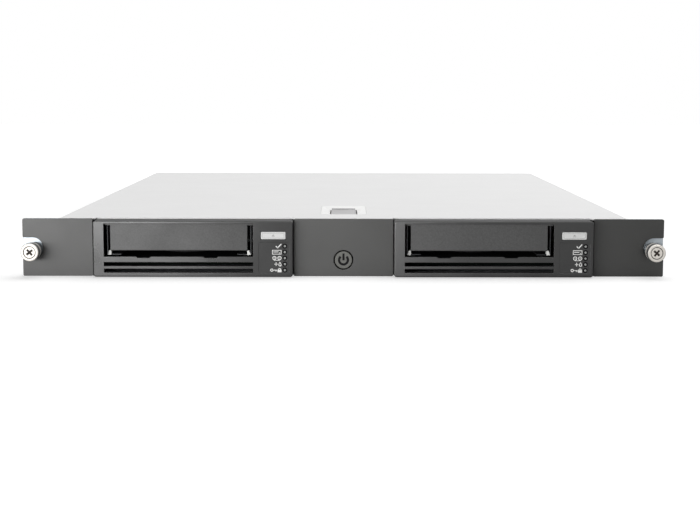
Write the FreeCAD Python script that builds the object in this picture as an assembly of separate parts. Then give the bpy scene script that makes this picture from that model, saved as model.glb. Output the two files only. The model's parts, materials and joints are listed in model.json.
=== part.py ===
"""Two half-height tape drives side by side in a one-unit rack enclosure.

Millimetres. X runs to the right as seen from the front, Y from the front to the rear, Z up.
The origin lies in the middle of the floor's underside, halfway along the enclosure.
"""
import FreeCAD
import Part
import math
import os
from FreeCAD import Vector

# Rack front
RACK_WIDTH = 482.6
RACK_SCREW_INSET = 8.75
EAR_REACH = 26.3
PANEL_THICKNESS = 3.0
PANEL_CORNER = 1.0
NOTCH_RADIUS = 7.9
NOTCH_HEIGHT = 21.4
NOTCH_OUTSET = 1.4
BRACKET_SHEET = 2.0
BRACKET_LEG = 45.0
BRACKET_LEG_HEIGHT = 24.0
BRACKET_LEG_LIFT = 5.0
EAR_SCREW_SETBACK = 15.75
EAR_SCREW_SPACING = 20.25

# Captive rack screw
SCREW_HEIGHT = 19.9
SCREW_RADIUS = 3.0
SCREW_SHANK_RADIUS = 2.4
SCREW_THREAD_SETBACK = 0.5
SCREW_TIP = 8.0
SCREW_POINT = 1.0
SCREW_TRAVEL = 5.0
KNOB_RADIUS = 6.6
KNOB_LENGTH = 11.0
KNOB_REACH = 19.0
KNOB_FRONT_WALL = 3.0
KNOB_FACE_SINK = 0.4
KNOB_GROOVE_RADIUS = 4.1
KNOB_GROOVE_WIDTH = 0.6
KNOB_GROOVE_DEPTH = 0.8
DRIVER_SLOT_LENGTH = 5.6
DRIVER_SLOT_WIDTH = 1.6
DRIVER_SLOT_DEPTH = 1.8
DRIVER_SLOT_TURN = 40.0
FERRULE_FLANGE_RADIUS = 5.6
FERRULE_FLANGE = 1.6
FERRULE_WALL = 2.3
WASHER_THICKNESS = 0.8

# Enclosure
BODY_DEPTH = 600.0
SHEET = 1.0
TOP_FLANGE = 7.0
COVER_FLANGE = 12.0
RAIL_HOLE_RADIUS = 2.2
RAIL_HOLE_SPACING = 300.0
RAIL_HOLE_HEIGHT = 20.0

# Cover latch
LATCH_WIDTH = 36.0
LATCH_LENGTH = 82.0
LATCH_SETBACK = 42.0
LATCH_CORNER = 4.0
LATCH_FLANGE = 3.0
LATCH_DEPTH = 8.0
LATCH_FLOOR = 1.6
LATCH_RIM = 0.8
DISH_DEPTH = 2.0
DISH_MARGIN = 2.0
LATCH_BUTTON_WIDTH = 19.8
LATCH_BUTTON_LENGTH = 48.0
LATCH_BUTTON_CORNER = 3.0
LATCH_BUTTON_SINK = 2.6
LATCH_BUTTON_THICKNESS = 2.2
LATCH_SCOOP_RADIUS = 160.0
LATCH_SCOOP_DEPTH = 0.5
SPRING_SHEET = 0.4
SPRING_WIDTH = 9.0
SPRING_SPAN = 30.0

# Power button and its switch
POWER_HEIGHT = 12.5
POWER_RADIUS = 6.5
POWER_PROUD = 0.4
POWER_FLANGE = 1.8
POWER_FLANGE_THICKNESS = 1.4
POWER_EDGE = 0.3
POWER_STEM = 3.0
POWER_STEM_RADIUS = 2.6
POWER_TRAVEL = 1.5
SWITCH_SIZE = 6.0
SWITCH_HEIGHT = 3.5
BOARD_THICKNESS = 1.6
SWITCH_BOARD_WIDTH = 20.0
SWITCH_BOARD_DROP = 5.0
SWITCH_BOARD_RISE = 24.0
SWITCH_POST_RADIUS = 2.0
SWITCH_POST_RISE = 18.0
SWITCH_POST_SPACING = 12.0

# Drive body
DRIVE_WIDTH = 146.0
DRIVE_HEIGHT = 40.6
DRIVE_DEPTH = 190.0
DRIVE_GAP = 0.4
CAST_WALL = 3.0
DECK_LIFT = 10.0
DECK_THICKNESS = 2.0
LID_SHEET = 0.8
LID_FLANGE = 8.0

# Drive bezel
BEZEL_OVERHANG = 1.5
BEZEL_MARGIN = 0.7
BEZEL_DEPTH = 19.0
BEZEL_PROUD = 10.0
BEZEL_WALL = 1.4
BEZEL_FRONT_WALL = 2.5
BEZEL_CORNER = 2.0
BEZEL_EDGE = 0.8
VENT_HEIGHT = 3.0
VENT_RISE = 3.15
VENT_PITCH = 4.9
VENT_COUNT = 2
LIP_NOTCH_WIDTH = 10.7
LIP_NOTCH_DEPTH = 1.0
LIP_NOTCH_SLOPE = 0.8
LIP_NOTCH_SPACING = 50.1
LIP_NOTCH_OFFSET = -1.1
CONTROL_INSET_LEFT = 49.1
CONTROL_INSET_WIDTH = 23.0
CONTROL_INSET_RISE = 2.8
CONTROL_INSET_HEIGHT = 23.3
CONTROL_INSET_DEPTH = 0.3
CONTROL_INSET_CORNER = 1.5

# Cartridge slot, door and carriage
CARTRIDGE_WIDTH = 105.4
CARTRIDGE_HEIGHT = 21.5
CARTRIDGE_LENGTH = 102.0
SLOT_SIDE_ROOM = 3.0
SLOT_OFFSET = -10.8
SLOT_RISE = 15.1
SLOT_HEADROOM = 3.4
DOOR_SIDE_GAP = 4.5
DOOR_BOTTOM_GAP = 4.3
DOOR_THICKNESS = 1.8
DOOR_EDGE = 0.6
DOOR_RECESS = 3.5
DOOR_STRIP = 1.5
HINGE_PIN_RADIUS = 0.7
HINGE_LUG = 3.0
CARRIAGE_SHEET = 0.8
CARRIAGE_LIFT = 1.6
CARRIAGE_SIDE_PLAY = 0.6
CARRIAGE_SETBACK = 6.5
CARRIAGE_LENGTH = 92.0
CARRIAGE_STRIP = 10.6
CARRIAGE_REAR_STRIP = 12.0
CARRIAGE_TRAVEL = 18.0
CARRIAGE_BEND = 2.2
RUNNER_WIDTH = 4.0
RUNNER_INSET = 4.5

# Eject button and indicator lights
EJECT_WIDTH = 18.4
EJECT_HEIGHT = 5.5
EJECT_X = 60.0
EJECT_RISE = 31.2
EJECT_PROUD = 0.6
EJECT_CORNER = 0.9
EJECT_EDGE = 0.3
EJECT_FLANGE = 1.0
EJECT_FLANGE_THICKNESS = 1.0
EJECT_STEM = 3.0
EJECT_TRAVEL = 1.2
LIGHT_COUNT = 5
LIGHT_X = 68.6
LIGHT_RISE = 5.2
LIGHT_PITCH = 4.5
LIGHT_RADIUS = 0.8
LIGHT_WELL_RADIUS = 1.9
LIGHT_WELL_DEPTH = 0.7
LENS_SINK = 0.35
LIGHT_BAR_WIDTH = 3.6
LIGHT_BAR_DEPTH = 2.0

# Tape transport
MOTOR_RADIUS = 22.0
MOTOR_THICKNESS = 1.6
CHUCK_RADIUS = 9.0
CHUCK_TEETH = 12
CHUCK_TOOTH_GAP = 1.4
CHUCK_TOOTH_DEPTH = 0.8
SHAFT_RADIUS = 3.0
SHAFT_BOSS_RADIUS = 7.0
SHAFT_BOSS = 1.8
REEL_RADIUS = 36.0
REEL_HUB_RADIUS = 20.0
REEL_FLANGE = 1.0
REEL_WIDTH = 13.0
REEL_X = -12.0
REEL_REAR_GAP = 1.3
TAPE_X = 57.0
TAPE_POST_RADIUS = 2.0
ROLLER_RADIUS = 5.5
ROLLER_FLANGE_RADIUS = 7.0
ROLLER_FLANGE = 1.0
ROLLER_SPACING = 46.0
ROLLER_SHOULDER_RADIUS = 3.6
ROLLER_LIFT = 3.0
HEAD_WIDTH = 12.0
HEAD_LENGTH = 18.0
HEAD_HEIGHT = 17.0
HEAD_LIFT = 5.0
HEAD_TRAVEL = 3.0
HEAD_FACE = 2.0
HEAD_FACE_LENGTH = 9.0

# Drive circuit board and plug
BOARD_LIFT = 6.0
BOARD_MARGIN = 6.0
BOARD_BOSS_RADIUS = 3.0
PLUG_WIDTH = 34.0
PLUG_HEIGHT = 4.6
PLUG_DEPTH = 12.0

# Drive mounting
DRIVE_OUTSET = 6.05
BAY_RAIL_SHEET = 1.2
BAY_RAIL_FOOT = 12.0
BAY_RAIL_HEIGHT = 28.0
BAY_RAIL_LENGTH = 150.0
BAY_RAIL_SETBACK = 15.0
DRIVE_HOLE_SETBACK = 47.4
DRIVE_HOLE_SPACING = 79.2
DRIVE_HOLE_RISE = 21.8

# Screws: shank radius, head radius, head height
SMALL_SCREW = 1.5
SMALL_SCREW_HEAD = 2.8
SMALL_SCREW_HEAD_HEIGHT = 1.6
SMALL_SCREW_LENGTH = 5.0

# Rear equipment
SUPPLY_WIDTH = 104.0
SUPPLY_LENGTH = 160.0
SUPPLY_HEADROOM = 2.0
SUPPLY_CORNER = 1.5
INLET_WIDTH = 27.4
INLET_HEIGHT = 20.0
INLET_DEPTH = 18.0
INLET_FLANGE = 2.0
INLET_FLANGE_MARGIN = 2.2
INLET_WALL = 1.6
INLET_CAVITY_DEPTH = 15.0
INLET_CORNER = 5.0
PIN_WIDTH = 2.0
PIN_HEIGHT = 4.0
PIN_LENGTH = 13.0
PIN_SPACING = 7.0
PIN_DROP = 1.5
EARTH_PIN_RISE = 2.0
FAN_SUPPLY_GAP = 23.0
FAN_DEPTH = 20.0
FAN_CLEARANCE = 0.6
FAN_RIM = 1.2
FAN_HUB_RADIUS = 9.0
FAN_BACK = 3.0
FAN_STRUT = 3.0
FAN_STRUTS = 3
FAN_BLADES = 7
FAN_TIP_GAP = 0.6
FAN_BLADE_CHORD = 13.0
FAN_BLADE_THICKNESS = 1.0
FAN_BLADE_PITCH = 42.0
FAN_SCREW_INSET = 4.0
FAN_PIN_RADIUS = 1.5
GRILLE_SLOT = 2.6
GRILLE_PITCH = 4.4
PORT_INSET = 47.7
PORT_WIDTH = 22.0
PORT_HEIGHT = 8.0
PORT_DEPTH = 24.0
PORT_PROUD = 1.5
PORT_WALL = 0.8
PORT_CAVITY = 14.0
TONGUE_HEIGHT = 1.6
TONGUE_WIDTH = 15.0
TONGUE_LENGTH = 8.5
LEAD_RADIUS = 3.0
LEAD_SPLIT = 6.0
LEAD_RUN = 30.0
LEAD_BEND_SHARE = 0.45
SUPPLY_LEAD_X = 25.0

# Clearances
SEAT_GAP = 0.3
POWER_GAP = 1.0
LATCH_GAP = 1.1
SLIDE_GAP = 0.2
FIT_GAP = 0.1
RUN_GAP = 0.05
PANEL_GAP = 0.5
EAR_GAP = 1.8
FLOOR_GAP = 0.2
TAB_MARGIN = 1.0
CUT = 1.0
PARALLEL = 1e-6

# Heights that follow from the drive
body_height = DRIVE_HEIGHT + 2 * (SHEET + DRIVE_GAP)
cover_under = body_height - SHEET
wall_top = cover_under - SLIDE_GAP
drive_bottom = SHEET + DRIVE_GAP
drive_top = drive_bottom + DRIVE_HEIGHT
deck_bottom = drive_bottom + DECK_LIFT
deck_top = deck_bottom + DECK_THICKNESS
lid_under = drive_top - LID_SHEET
bezel_bottom = drive_bottom - BEZEL_MARGIN
bezel_top = drive_top + BEZEL_MARGIN

# Stations along the depth
panel_front = -BODY_DEPTH / 2
panel_back = panel_front + PANEL_THICKNESS
rack_face = panel_back + BRACKET_SHEET
rear = BODY_DEPTH / 2
bezel_front = panel_front - BEZEL_PROUD
bezel_back = bezel_front + BEZEL_DEPTH
drive_back = bezel_back + DRIVE_DEPTH
cover_front = rack_face + SEAT_GAP
cover_back = rear + SEAT_GAP + SHEET

# Widths
half_rack = RACK_WIDTH / 2
half_body = half_rack - EAR_REACH
half_drive = DRIVE_WIDTH / 2
half_bezel = half_drive + BEZEL_OVERHANG
side_outer = half_body - SHEET - SEAT_GAP
side_inner = side_outer - SHEET
drive_x = side_inner / 2 + DRIVE_OUTSET
half_centre = drive_x - half_bezel - PANEL_GAP
ear_inner = drive_x + half_bezel + EAR_GAP
screw_x = half_rack - RACK_SCREW_INSET
notch_x = screw_x + NOTCH_OUTSET
panel_z = (FLOOR_GAP, body_height)

# Slot, door and carriage
slot_half = CARTRIDGE_WIDTH / 2 + SLOT_SIDE_ROOM
slot_bottom = bezel_bottom + SLOT_RISE
slot_top = slot_bottom + CARTRIDGE_HEIGHT + SLOT_HEADROOM
door_half = slot_half - DOOR_SIDE_GAP
door_bottom = slot_bottom + DOOR_BOTTOM_GAP
door_front = bezel_front + DOOR_RECESS
hinge_y = door_front + DOOR_THICKNESS / 2
hinge_z = bezel_top - BEZEL_WALL - SEAT_GAP - DOOR_THICKNESS / 2
carriage_half = CARTRIDGE_WIDTH / 2 + CARRIAGE_SIDE_PLAY + CARRIAGE_SHEET
carriage_front = bezel_front + CARRIAGE_SETBACK
carriage_back = carriage_front + CARRIAGE_LENGTH
carriage_floor = slot_bottom + CARRIAGE_LIFT
carriage_under = carriage_floor - CARRIAGE_SHEET
carriage_top = slot_top - DOOR_STRIP - SEAT_GAP
runner_x = carriage_half - RUNNER_INSET
motor_y = carriage_front + CARRIAGE_TRAVEL + CARTRIDGE_LENGTH / 2
reel_y = drive_back - CAST_WALL - REEL_REAR_GAP - REEL_RADIUS
head_y = (motor_y + reel_y) / 2
board_bottom = drive_bottom + BOARD_LIFT
board_top = board_bottom + BOARD_THICKNESS
lead_z = board_bottom - PLUG_HEIGHT / 2
plug_back = drive_back - BOARD_MARGIN
chuck_top = carriage_floor - SEAT_GAP
roller_bottom = deck_top + ROLLER_LIFT + SEAT_GAP
roller_z = (roller_bottom, roller_bottom + REEL_WIDTH + 2 * ROLLER_FLANGE)
head_z = (deck_top + HEAD_LIFT, deck_top + HEAD_LIFT + HEAD_HEIGHT)

# Cover latch
latch_y = (panel_front + LATCH_SETBACK, panel_front + LATCH_SETBACK + LATCH_LENGTH)
latch_middle = sum(latch_y) / 2
latch_bottom = cover_under - LATCH_DEPTH
latch_floor = latch_bottom + LATCH_FLOOR
latch_button_top = body_height - LATCH_BUTTON_SINK
latch_button_bottom = latch_button_top - LATCH_BUTTON_THICKNESS

# Captive rack screw
ferrule_bore = SCREW_SHANK_RADIUS + FIT_GAP
ferrule_neck = ferrule_bore + FERRULE_WALL / 2
ferrule_sleeve = ferrule_bore + FERRULE_WALL
knob_front = panel_front - KNOB_REACH
knob_back = knob_front + KNOB_LENGTH
knob_inside = knob_front + KNOB_FRONT_WALL
knob_bore = ferrule_sleeve + SEAT_GAP
washer_back = knob_inside + RUN_GAP + WASHER_THICKNESS
sleeve_front = washer_back + SCREW_TRAVEL + SEAT_GAP

# Power button and eject button
power_well = POWER_RADIUS + POWER_FLANGE + SEAT_GAP
power_flange_y = (panel_back + RUN_GAP, panel_back + RUN_GAP + POWER_FLANGE_THICKNESS)
power_stem_end = power_flange_y[1] + POWER_STEM
switch_front = power_stem_end + POWER_TRAVEL + SLIDE_GAP
switch_board_front = switch_front + SWITCH_HEIGHT
eject_z = bezel_bottom + EJECT_RISE
eject_seat = bezel_front + BEZEL_FRONT_WALL + RUN_GAP
eject_flange_y = (eject_seat, eject_seat + EJECT_FLANGE_THICKNESS)
eject_stem_end = eject_flange_y[1] + EJECT_TRAVEL
eject_switch_front = eject_stem_end + EJECT_TRAVEL + SLIDE_GAP
riser_front = eject_switch_front + SWITCH_HEIGHT

# Rear equipment
fan_size = wall_top - SHEET - 2 * FAN_CLEARANCE
fan_z = SHEET + FAN_CLEARANCE + fan_size / 2
fan_bore = fan_size / 2 - FAN_RIM
fan_front = rear - SHEET - FAN_DEPTH
cover_hem = fan_z + fan_size / 2 - FAN_SCREW_INSET + SMALL_SCREW_HEAD + SEAT_GAP
supply_front = rear - SHEET - SUPPLY_LENGTH
supply_top = wall_top - SUPPLY_HEADROOM
inlet_z = (SHEET + supply_top) / 2
port_front = rear + PORT_PROUD - PORT_DEPTH
port_x = side_inner - PORT_INSET
fan_x = SUPPLY_WIDTH / 2 + FAN_SUPPLY_GAP + fan_size / 2
inlet_floor = rear + INLET_FLANGE - INLET_CAVITY_DEPTH


def block(x, y, z):
    """Box between the low and high ends of x, y and z."""
    size = [high - low for low, high in (x, y, z)]
    return Part.makeBox(size[0], size[1], size[2], Vector(x[0], y[0], z[0]))


def about(middle, size):
    """Low and high end of a size laid evenly about its middle."""
    return (middle - size / 2, middle + size / 2)


def rod(x, y, z, radius):
    """Cylinder along the one of x, y and z that is given as a low and high end."""
    span = [value if isinstance(value, tuple) else (value, value) for value in (x, y, z)]
    start = Vector(span[0][0], span[1][0], span[2][0])
    end = Vector(span[0][1], span[1][1], span[2][1])
    return Part.makeCylinder(radius, (end - start).Length, start, end - start)


def join(*shapes):
    """One solid from shapes that overlap or meet."""
    return shapes[0].fuse(list(shapes[1:])).removeSplitter()


def cut(shape, tools):
    """The shape without the tools."""
    return shape.cut(tools)


def mirrored(shape):
    """The shape seen across the middle plane."""
    return shape.mirror(Vector(0, 0, 0), Vector(1, 0, 0))


def both(shape):
    """A right-hand shape and its left-hand twin."""
    return [shape, mirrored(shape)]


def along(edge, direction):
    """Whether an edge is straight and runs along a direction."""
    if not isinstance(edge.Curve, Part.Line):
        return False
    return abs(abs(edge.tangentAt(edge.FirstParameter).dot(direction)) - 1) < PARALLEL


def rounded(x, y, z, radius, direction):
    """Box whose four edges along a direction are rounded."""
    shape = block(x, y, z)
    return shape.makeFillet(radius, [edge for edge in shape.Edges if along(edge, direction)])


def outline(x, y, z, radius):
    """Closed wire at height z around a rectangle with round corners."""
    shape = rounded(x, y, (z, z + 1), radius, Vector(0, 0, 1))
    lowest = min(shape.Faces, key=lambda face: face.CenterOfMass.z)
    return lowest.OuterWire


def revolved(profile, x, z):
    """Turned solid about an axis along Y from pairs of radius and depth."""
    points = [Vector(x + radius, y, z) for radius, y in profile]
    face = Part.Face(Part.makePolygon(points + points[:1]))
    return face.revolve(Vector(x, 0, z), Vector(0, 1, 0), 360)


X_AXIS = Vector(1, 0, 0)
Y_AXIS = Vector(0, 1, 0)
Z_AXIS = Vector(0, 0, 1)


# Enclosure

def bezel_clearance(z):
    """Room left for the two bezels at the front edge of a sheet."""
    width = 2 * (half_bezel + PANEL_GAP)
    depth = (bezel_front, bezel_back + SEAT_GAP)
    return [block(about(middle, width), depth, z) for middle in (-drive_x, drive_x)]


def fan_screw_places():
    """Middle of each fan screw on the right-hand fan, as x and z."""
    offset = fan_size / 2 - FAN_SCREW_INSET
    return [(fan_x + i * offset, fan_z + j * offset) for i in (-1, 1) for j in (-1, 1)]


def grille_slots():
    """Upright air slots in the rear wall, kept inside the fan's bore."""
    slots = []
    reach = fan_bore - GRILLE_SLOT
    count = int(reach / GRILLE_PITCH)
    for number in range(-count, count + 1):
        offset = number * GRILLE_PITCH
        height = 2 * math.sqrt(reach ** 2 - offset ** 2)
        depth = (rear - SHEET - CUT, rear + CUT)
        slots.append(block(about(fan_x + offset, GRILLE_SLOT), depth, about(fan_z, height)))
    return slots


def rear_openings():
    """What is cut through the rear wall."""
    depth = (rear - SHEET - CUT, rear + CUT)
    port = block(about(port_x, PORT_WIDTH + 2 * FIT_GAP), depth, (SHEET, SHEET + PORT_HEIGHT + FIT_GAP))
    inlet = block(about(0, INLET_WIDTH + 2 * FIT_GAP), depth, about(inlet_z, INLET_HEIGHT + 2 * FIT_GAP))
    tools = both(port) + [inlet]
    for slot in grille_slots():
        tools += both(slot)
    for x, z in fan_screw_places():
        tools += both(rod(x, depth, z, SMALL_SCREW + FIT_GAP))
    return tools


def ear_screw_places():
    """Depth and height of the screws that hold an ear bracket to the tray."""
    middle = BRACKET_LEG_LIFT + BRACKET_LEG_HEIGHT / 2
    first = rack_face + EAR_SCREW_SETBACK
    return [(first, middle), (first + EAR_SCREW_SPACING, middle)]


def chassis_tray():
    """Floor, sides, rear wall and front tabs, folded from one sheet."""
    floor = block((-side_outer, side_outer), (panel_back, rear), (0, SHEET))
    side = block((side_inner, side_outer), (panel_back, rear), (0, wall_top))
    lip = block((side_inner - TOP_FLANGE, side_inner), (panel_back + SHEET, rear - SHEET),
                (wall_top - SHEET, wall_top))
    back = block((-side_inner, side_inner), (rear - SHEET, rear), (0, wall_top))
    tab_depth = (panel_back, panel_back + SHEET)
    outer_tab = block((ear_inner + TAB_MARGIN, side_inner), tab_depth, (0, wall_top))
    centre_tab = block((TAB_MARGIN - half_centre, half_centre - TAB_MARGIN), tab_depth, (0, wall_top))
    body = join(floor, back, centre_tab, *both(side), *both(lip), *both(outer_tab))
    tools = bezel_clearance((-CUT, SHEET + CUT)) + rear_openings()
    tools.append(rod(0, (panel_back - CUT, panel_back + SHEET + CUT), POWER_HEIGHT, power_well))
    wall = (side_inner - CUT, side_outer + CUT)
    for y in about(0, RAIL_HOLE_SPACING):
        tools += both(rod(wall, y, RAIL_HOLE_HEIGHT, RAIL_HOLE_RADIUS))
    for y, z in ear_screw_places():
        tools += both(rod(wall, y, z, SMALL_SCREW + FIT_GAP))
    body = cut(body, tools)
    folds = [edge for edge in body.Edges if along(edge, Y_AXIS) and edge.BoundBox.ZMax < CUT / 2
             and abs(abs(edge.CenterOfMass.x) - side_outer) < FIT_GAP]
    return body.makeFillet(SHEET, folds)


def top_cover():
    """Sliding lid with side and rear flanges and the latch window."""
    depth = (cover_front, cover_back)
    top = block((-half_body, half_body), depth, (cover_under, body_height))
    side = block((half_body - SHEET, half_body), depth, (body_height - COVER_FLANGE, body_height))
    back = block((-half_body, half_body), (rear + SEAT_GAP, cover_back), (cover_hem, body_height))
    body = join(top, back, *both(side))
    edges = [edge for edge in body.Edges if edge.BoundBox.ZMin > body_height - FIT_GAP
             and (along(edge, Y_AXIS) or edge.CenterOfMass.y > rear)]
    body = body.makeFillet(SHEET, edges)
    through = (cover_under - CUT, body_height + CUT)
    window = rounded(about(0, LATCH_WIDTH), latch_y, through, LATCH_CORNER, Z_AXIS)
    return cut(body, bezel_clearance(through) + [window])


def latch_housing():
    """Cup under the cover whose dished rim fills the window around the button."""
    width = LATCH_WIDTH - 2 * FIT_GAP
    length = LATCH_LENGTH - 2 * FIT_GAP
    neck = rounded(about(0, width), about(latch_middle, length), (cover_under, body_height),
                   LATCH_CORNER, Z_AXIS)
    flange_x = about(0, width + 2 * LATCH_FLANGE)
    flange_y = about(latch_middle, length + 2 * LATCH_FLANGE)
    cup = rounded(flange_x, flange_y, (latch_bottom, cover_under), LATCH_CORNER, Z_AXIS)
    dish_top = outline(about(0, width - 2 * LATCH_RIM), about(latch_middle, length - 2 * LATCH_RIM),
                       body_height, LATCH_CORNER - LATCH_RIM)
    floor_x = LATCH_BUTTON_WIDTH + 2 * DISH_MARGIN
    floor_y = LATCH_BUTTON_LENGTH + 2 * DISH_MARGIN
    dish_low = outline(about(0, floor_x), about(latch_middle, floor_y),
                       body_height - DISH_DEPTH, LATCH_BUTTON_CORNER)
    dish = Part.makeLoft([dish_low, dish_top], True, True)
    well_x = about(0, LATCH_BUTTON_WIDTH + 2 * LATCH_GAP)
    well_y = about(latch_middle, LATCH_BUTTON_LENGTH + 2 * LATCH_GAP)
    well = rounded(well_x, well_y, (latch_floor, body_height), LATCH_BUTTON_CORNER, Z_AXIS)
    return cut(join(neck, cup), [dish, well])


def latch_button():
    """Push button with a shallow thumb scoop along its top."""
    pad = rounded(about(0, LATCH_BUTTON_WIDTH), about(latch_middle, LATCH_BUTTON_LENGTH),
                  (latch_button_bottom, latch_button_top), LATCH_BUTTON_CORNER, Z_AXIS)
    half = LATCH_BUTTON_WIDTH
    scoop_z = latch_button_top - LATCH_SCOOP_DEPTH + LATCH_SCOOP_RADIUS
    return cut(pad, [rod((-half, half), latch_middle, scoop_z, LATCH_SCOOP_RADIUS)])


def latch_spring():
    """Arched leaf between the cup's floor and the button."""
    rise = latch_button_bottom - SEAT_GAP - latch_floor
    outer = bow(SPRING_SPAN, rise)
    inner = bow(SPRING_SPAN - 2 * SPRING_SHEET, rise - SPRING_SHEET)
    return cut(outer, [inner])


def bow(span, rise):
    """Low arched prism on the latch cup's floor."""
    ends = [Vector(-SPRING_WIDTH / 2, latch_middle + side * span / 2, latch_floor) for side in (-1, 1)]
    crown = Vector(-SPRING_WIDTH / 2, latch_middle, latch_floor + rise)
    arch = Part.Arc(ends[0], crown, ends[1]).toShape()
    chord = Part.makeLine(ends[1], ends[0])
    return Part.Face(Part.Wire([arch, chord])).extrude(Vector(SPRING_WIDTH, 0, 0))


# Rack ears and front panels

def ear_bracket():
    """Right-hand plated angle: ear plate behind the panel and a leg along the tray's side."""
    plate = rounded((side_outer, half_rack), (panel_back, rack_face), panel_z, PANEL_CORNER, Y_AXIS)
    leg_z = (BRACKET_LEG_LIFT, BRACKET_LEG_LIFT + BRACKET_LEG_HEIGHT)
    leg_x = (side_outer, side_outer + BRACKET_SHEET)
    leg = block(leg_x, (panel_back + PANEL_CORNER, rack_face + BRACKET_LEG), leg_z)
    tools = [rod(screw_x, (panel_back - CUT, rack_face + CUT), SCREW_HEIGHT, ferrule_neck + FIT_GAP)]
    for y, z in ear_screw_places():
        tools.append(rod((leg_x[0] - CUT, leg_x[1] + CUT), y, z, SMALL_SCREW + FIT_GAP))
    return cut(join(plate, leg), tools)


def ear_panel():
    """Right-hand front panel with the notch that is open to the outside."""
    plate = rounded((ear_inner, half_rack), (panel_front, panel_back), panel_z, PANEL_CORNER, Y_AXIS)
    depth = (panel_front - CUT, panel_back + CUT)
    notch = join(rod(notch_x, depth, NOTCH_HEIGHT, NOTCH_RADIUS),
                 block((notch_x, half_rack + CUT), depth, about(NOTCH_HEIGHT, 2 * NOTCH_RADIUS)))
    body = cut(plate, [notch])
    mouth = [edge for edge in body.Edges if along(edge, Y_AXIS)
             and abs(edge.CenterOfMass.x - half_rack) < FIT_GAP
             and abs(edge.CenterOfMass.z - NOTCH_HEIGHT) < NOTCH_RADIUS + FIT_GAP]
    return body.makeFillet(PANEL_CORNER, mouth)


def centre_panel():
    """Plate between the drives with the power button's hole."""
    plate = rounded((-half_centre, half_centre), (panel_front, panel_back), panel_z, PANEL_CORNER, Y_AXIS)
    return cut(plate, [rod(0, (panel_front - CUT, panel_back + CUT), POWER_HEIGHT, POWER_RADIUS + POWER_GAP)])


# Captive rack screws

def screw_ferrule():
    """Stepped bush that holds the rack screw in the ear bracket."""
    flange_front = panel_back - FERRULE_FLANGE
    profile = [(ferrule_bore, sleeve_front), (ferrule_sleeve, sleeve_front), (ferrule_sleeve, flange_front),
               (FERRULE_FLANGE_RADIUS, flange_front), (FERRULE_FLANGE_RADIUS, panel_back),
               (ferrule_neck, panel_back), (ferrule_neck, rack_face), (ferrule_bore, rack_face)]
    return revolved(profile, screw_x, SCREW_HEIGHT)


def rack_screw():
    """Turned screw with a hollow knob, a driver cross and a thicker end that keeps it captive."""
    tip = rack_face + SCREW_TIP
    thread = rack_face + SCREW_THREAD_SETBACK
    groove_out = KNOB_GROOVE_RADIUS + KNOB_GROOVE_WIDTH
    groove_floor = knob_front + KNOB_GROOVE_DEPTH
    face = knob_front + KNOB_FACE_SINK
    edge = KNOB_GROOVE_WIDTH
    profile = [(0, face), (KNOB_GROOVE_RADIUS, face), (KNOB_GROOVE_RADIUS, groove_floor),
               (groove_out, groove_floor), (groove_out, knob_front), (KNOB_RADIUS - edge, knob_front),
               (KNOB_RADIUS, knob_front + edge), (KNOB_RADIUS, knob_back), (knob_bore, knob_back),
               (knob_bore, knob_inside), (SCREW_SHANK_RADIUS, knob_inside), (SCREW_SHANK_RADIUS, thread),
               (SCREW_RADIUS, thread), (SCREW_RADIUS, tip - SCREW_POINT),
               (SCREW_RADIUS - SCREW_POINT, tip), (0, tip)]
    body = revolved(profile, screw_x, SCREW_HEIGHT)
    depth = (knob_front - CUT, knob_front + DRIVER_SLOT_DEPTH)
    cross = join(block(about(screw_x, DRIVER_SLOT_LENGTH), depth, about(SCREW_HEIGHT, DRIVER_SLOT_WIDTH)),
                 block(about(screw_x, DRIVER_SLOT_WIDTH), depth, about(SCREW_HEIGHT, DRIVER_SLOT_LENGTH)))
    cross.rotate(Vector(screw_x, 0, SCREW_HEIGHT), Y_AXIS, DRIVER_SLOT_TURN)
    return cut(body, [cross])


def thrust_washer():
    """Washer under the knob that the return spring pushes on."""
    depth = (knob_inside + RUN_GAP, washer_back)
    ring = rod(screw_x, depth, SCREW_HEIGHT, ferrule_sleeve)
    return cut(ring, [rod(screw_x, depth, SCREW_HEIGHT, SCREW_SHANK_RADIUS + RUN_GAP)])


# Power button

def power_button():
    """Round cap with a retaining flange and a stem."""
    cap = rod(0, (panel_front - POWER_PROUD, power_flange_y[1]), POWER_HEIGHT, POWER_RADIUS)
    front_edge = [edge for edge in cap.Edges if edge.BoundBox.YMax < panel_front]
    cap = cap.makeChamfer(POWER_EDGE, front_edge)
    flange = rod(0, power_flange_y, POWER_HEIGHT, POWER_RADIUS + POWER_FLANGE)
    stem = rod(0, (power_flange_y[0], power_stem_end), POWER_HEIGHT, POWER_STEM_RADIUS)
    return join(cap, flange, stem)


def power_switch_board():
    """Board on two posts behind the front tab, with the switch that the stem presses."""
    depth = (switch_board_front, switch_board_front + BOARD_THICKNESS)
    board = block(about(0, SWITCH_BOARD_WIDTH), depth,
                  (POWER_HEIGHT - SWITCH_BOARD_DROP, POWER_HEIGHT + SWITCH_BOARD_RISE))
    switch = block(about(0, SWITCH_SIZE), (switch_front, switch_board_front),
                   about(POWER_HEIGHT, SWITCH_SIZE))
    post = rod(SWITCH_POST_SPACING / 2, (panel_back + SHEET, switch_board_front),
               POWER_HEIGHT + SWITCH_POST_RISE, SWITCH_POST_RADIUS)
    return join(board, switch, *both(post))


# Drive, drawn about its own middle plane and moved to its bay

def light_heights():
    """Height of each indicator light."""
    return [bezel_bottom + LIGHT_RISE + LIGHT_PITCH * number for number in range(LIGHT_COUNT)]


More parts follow.
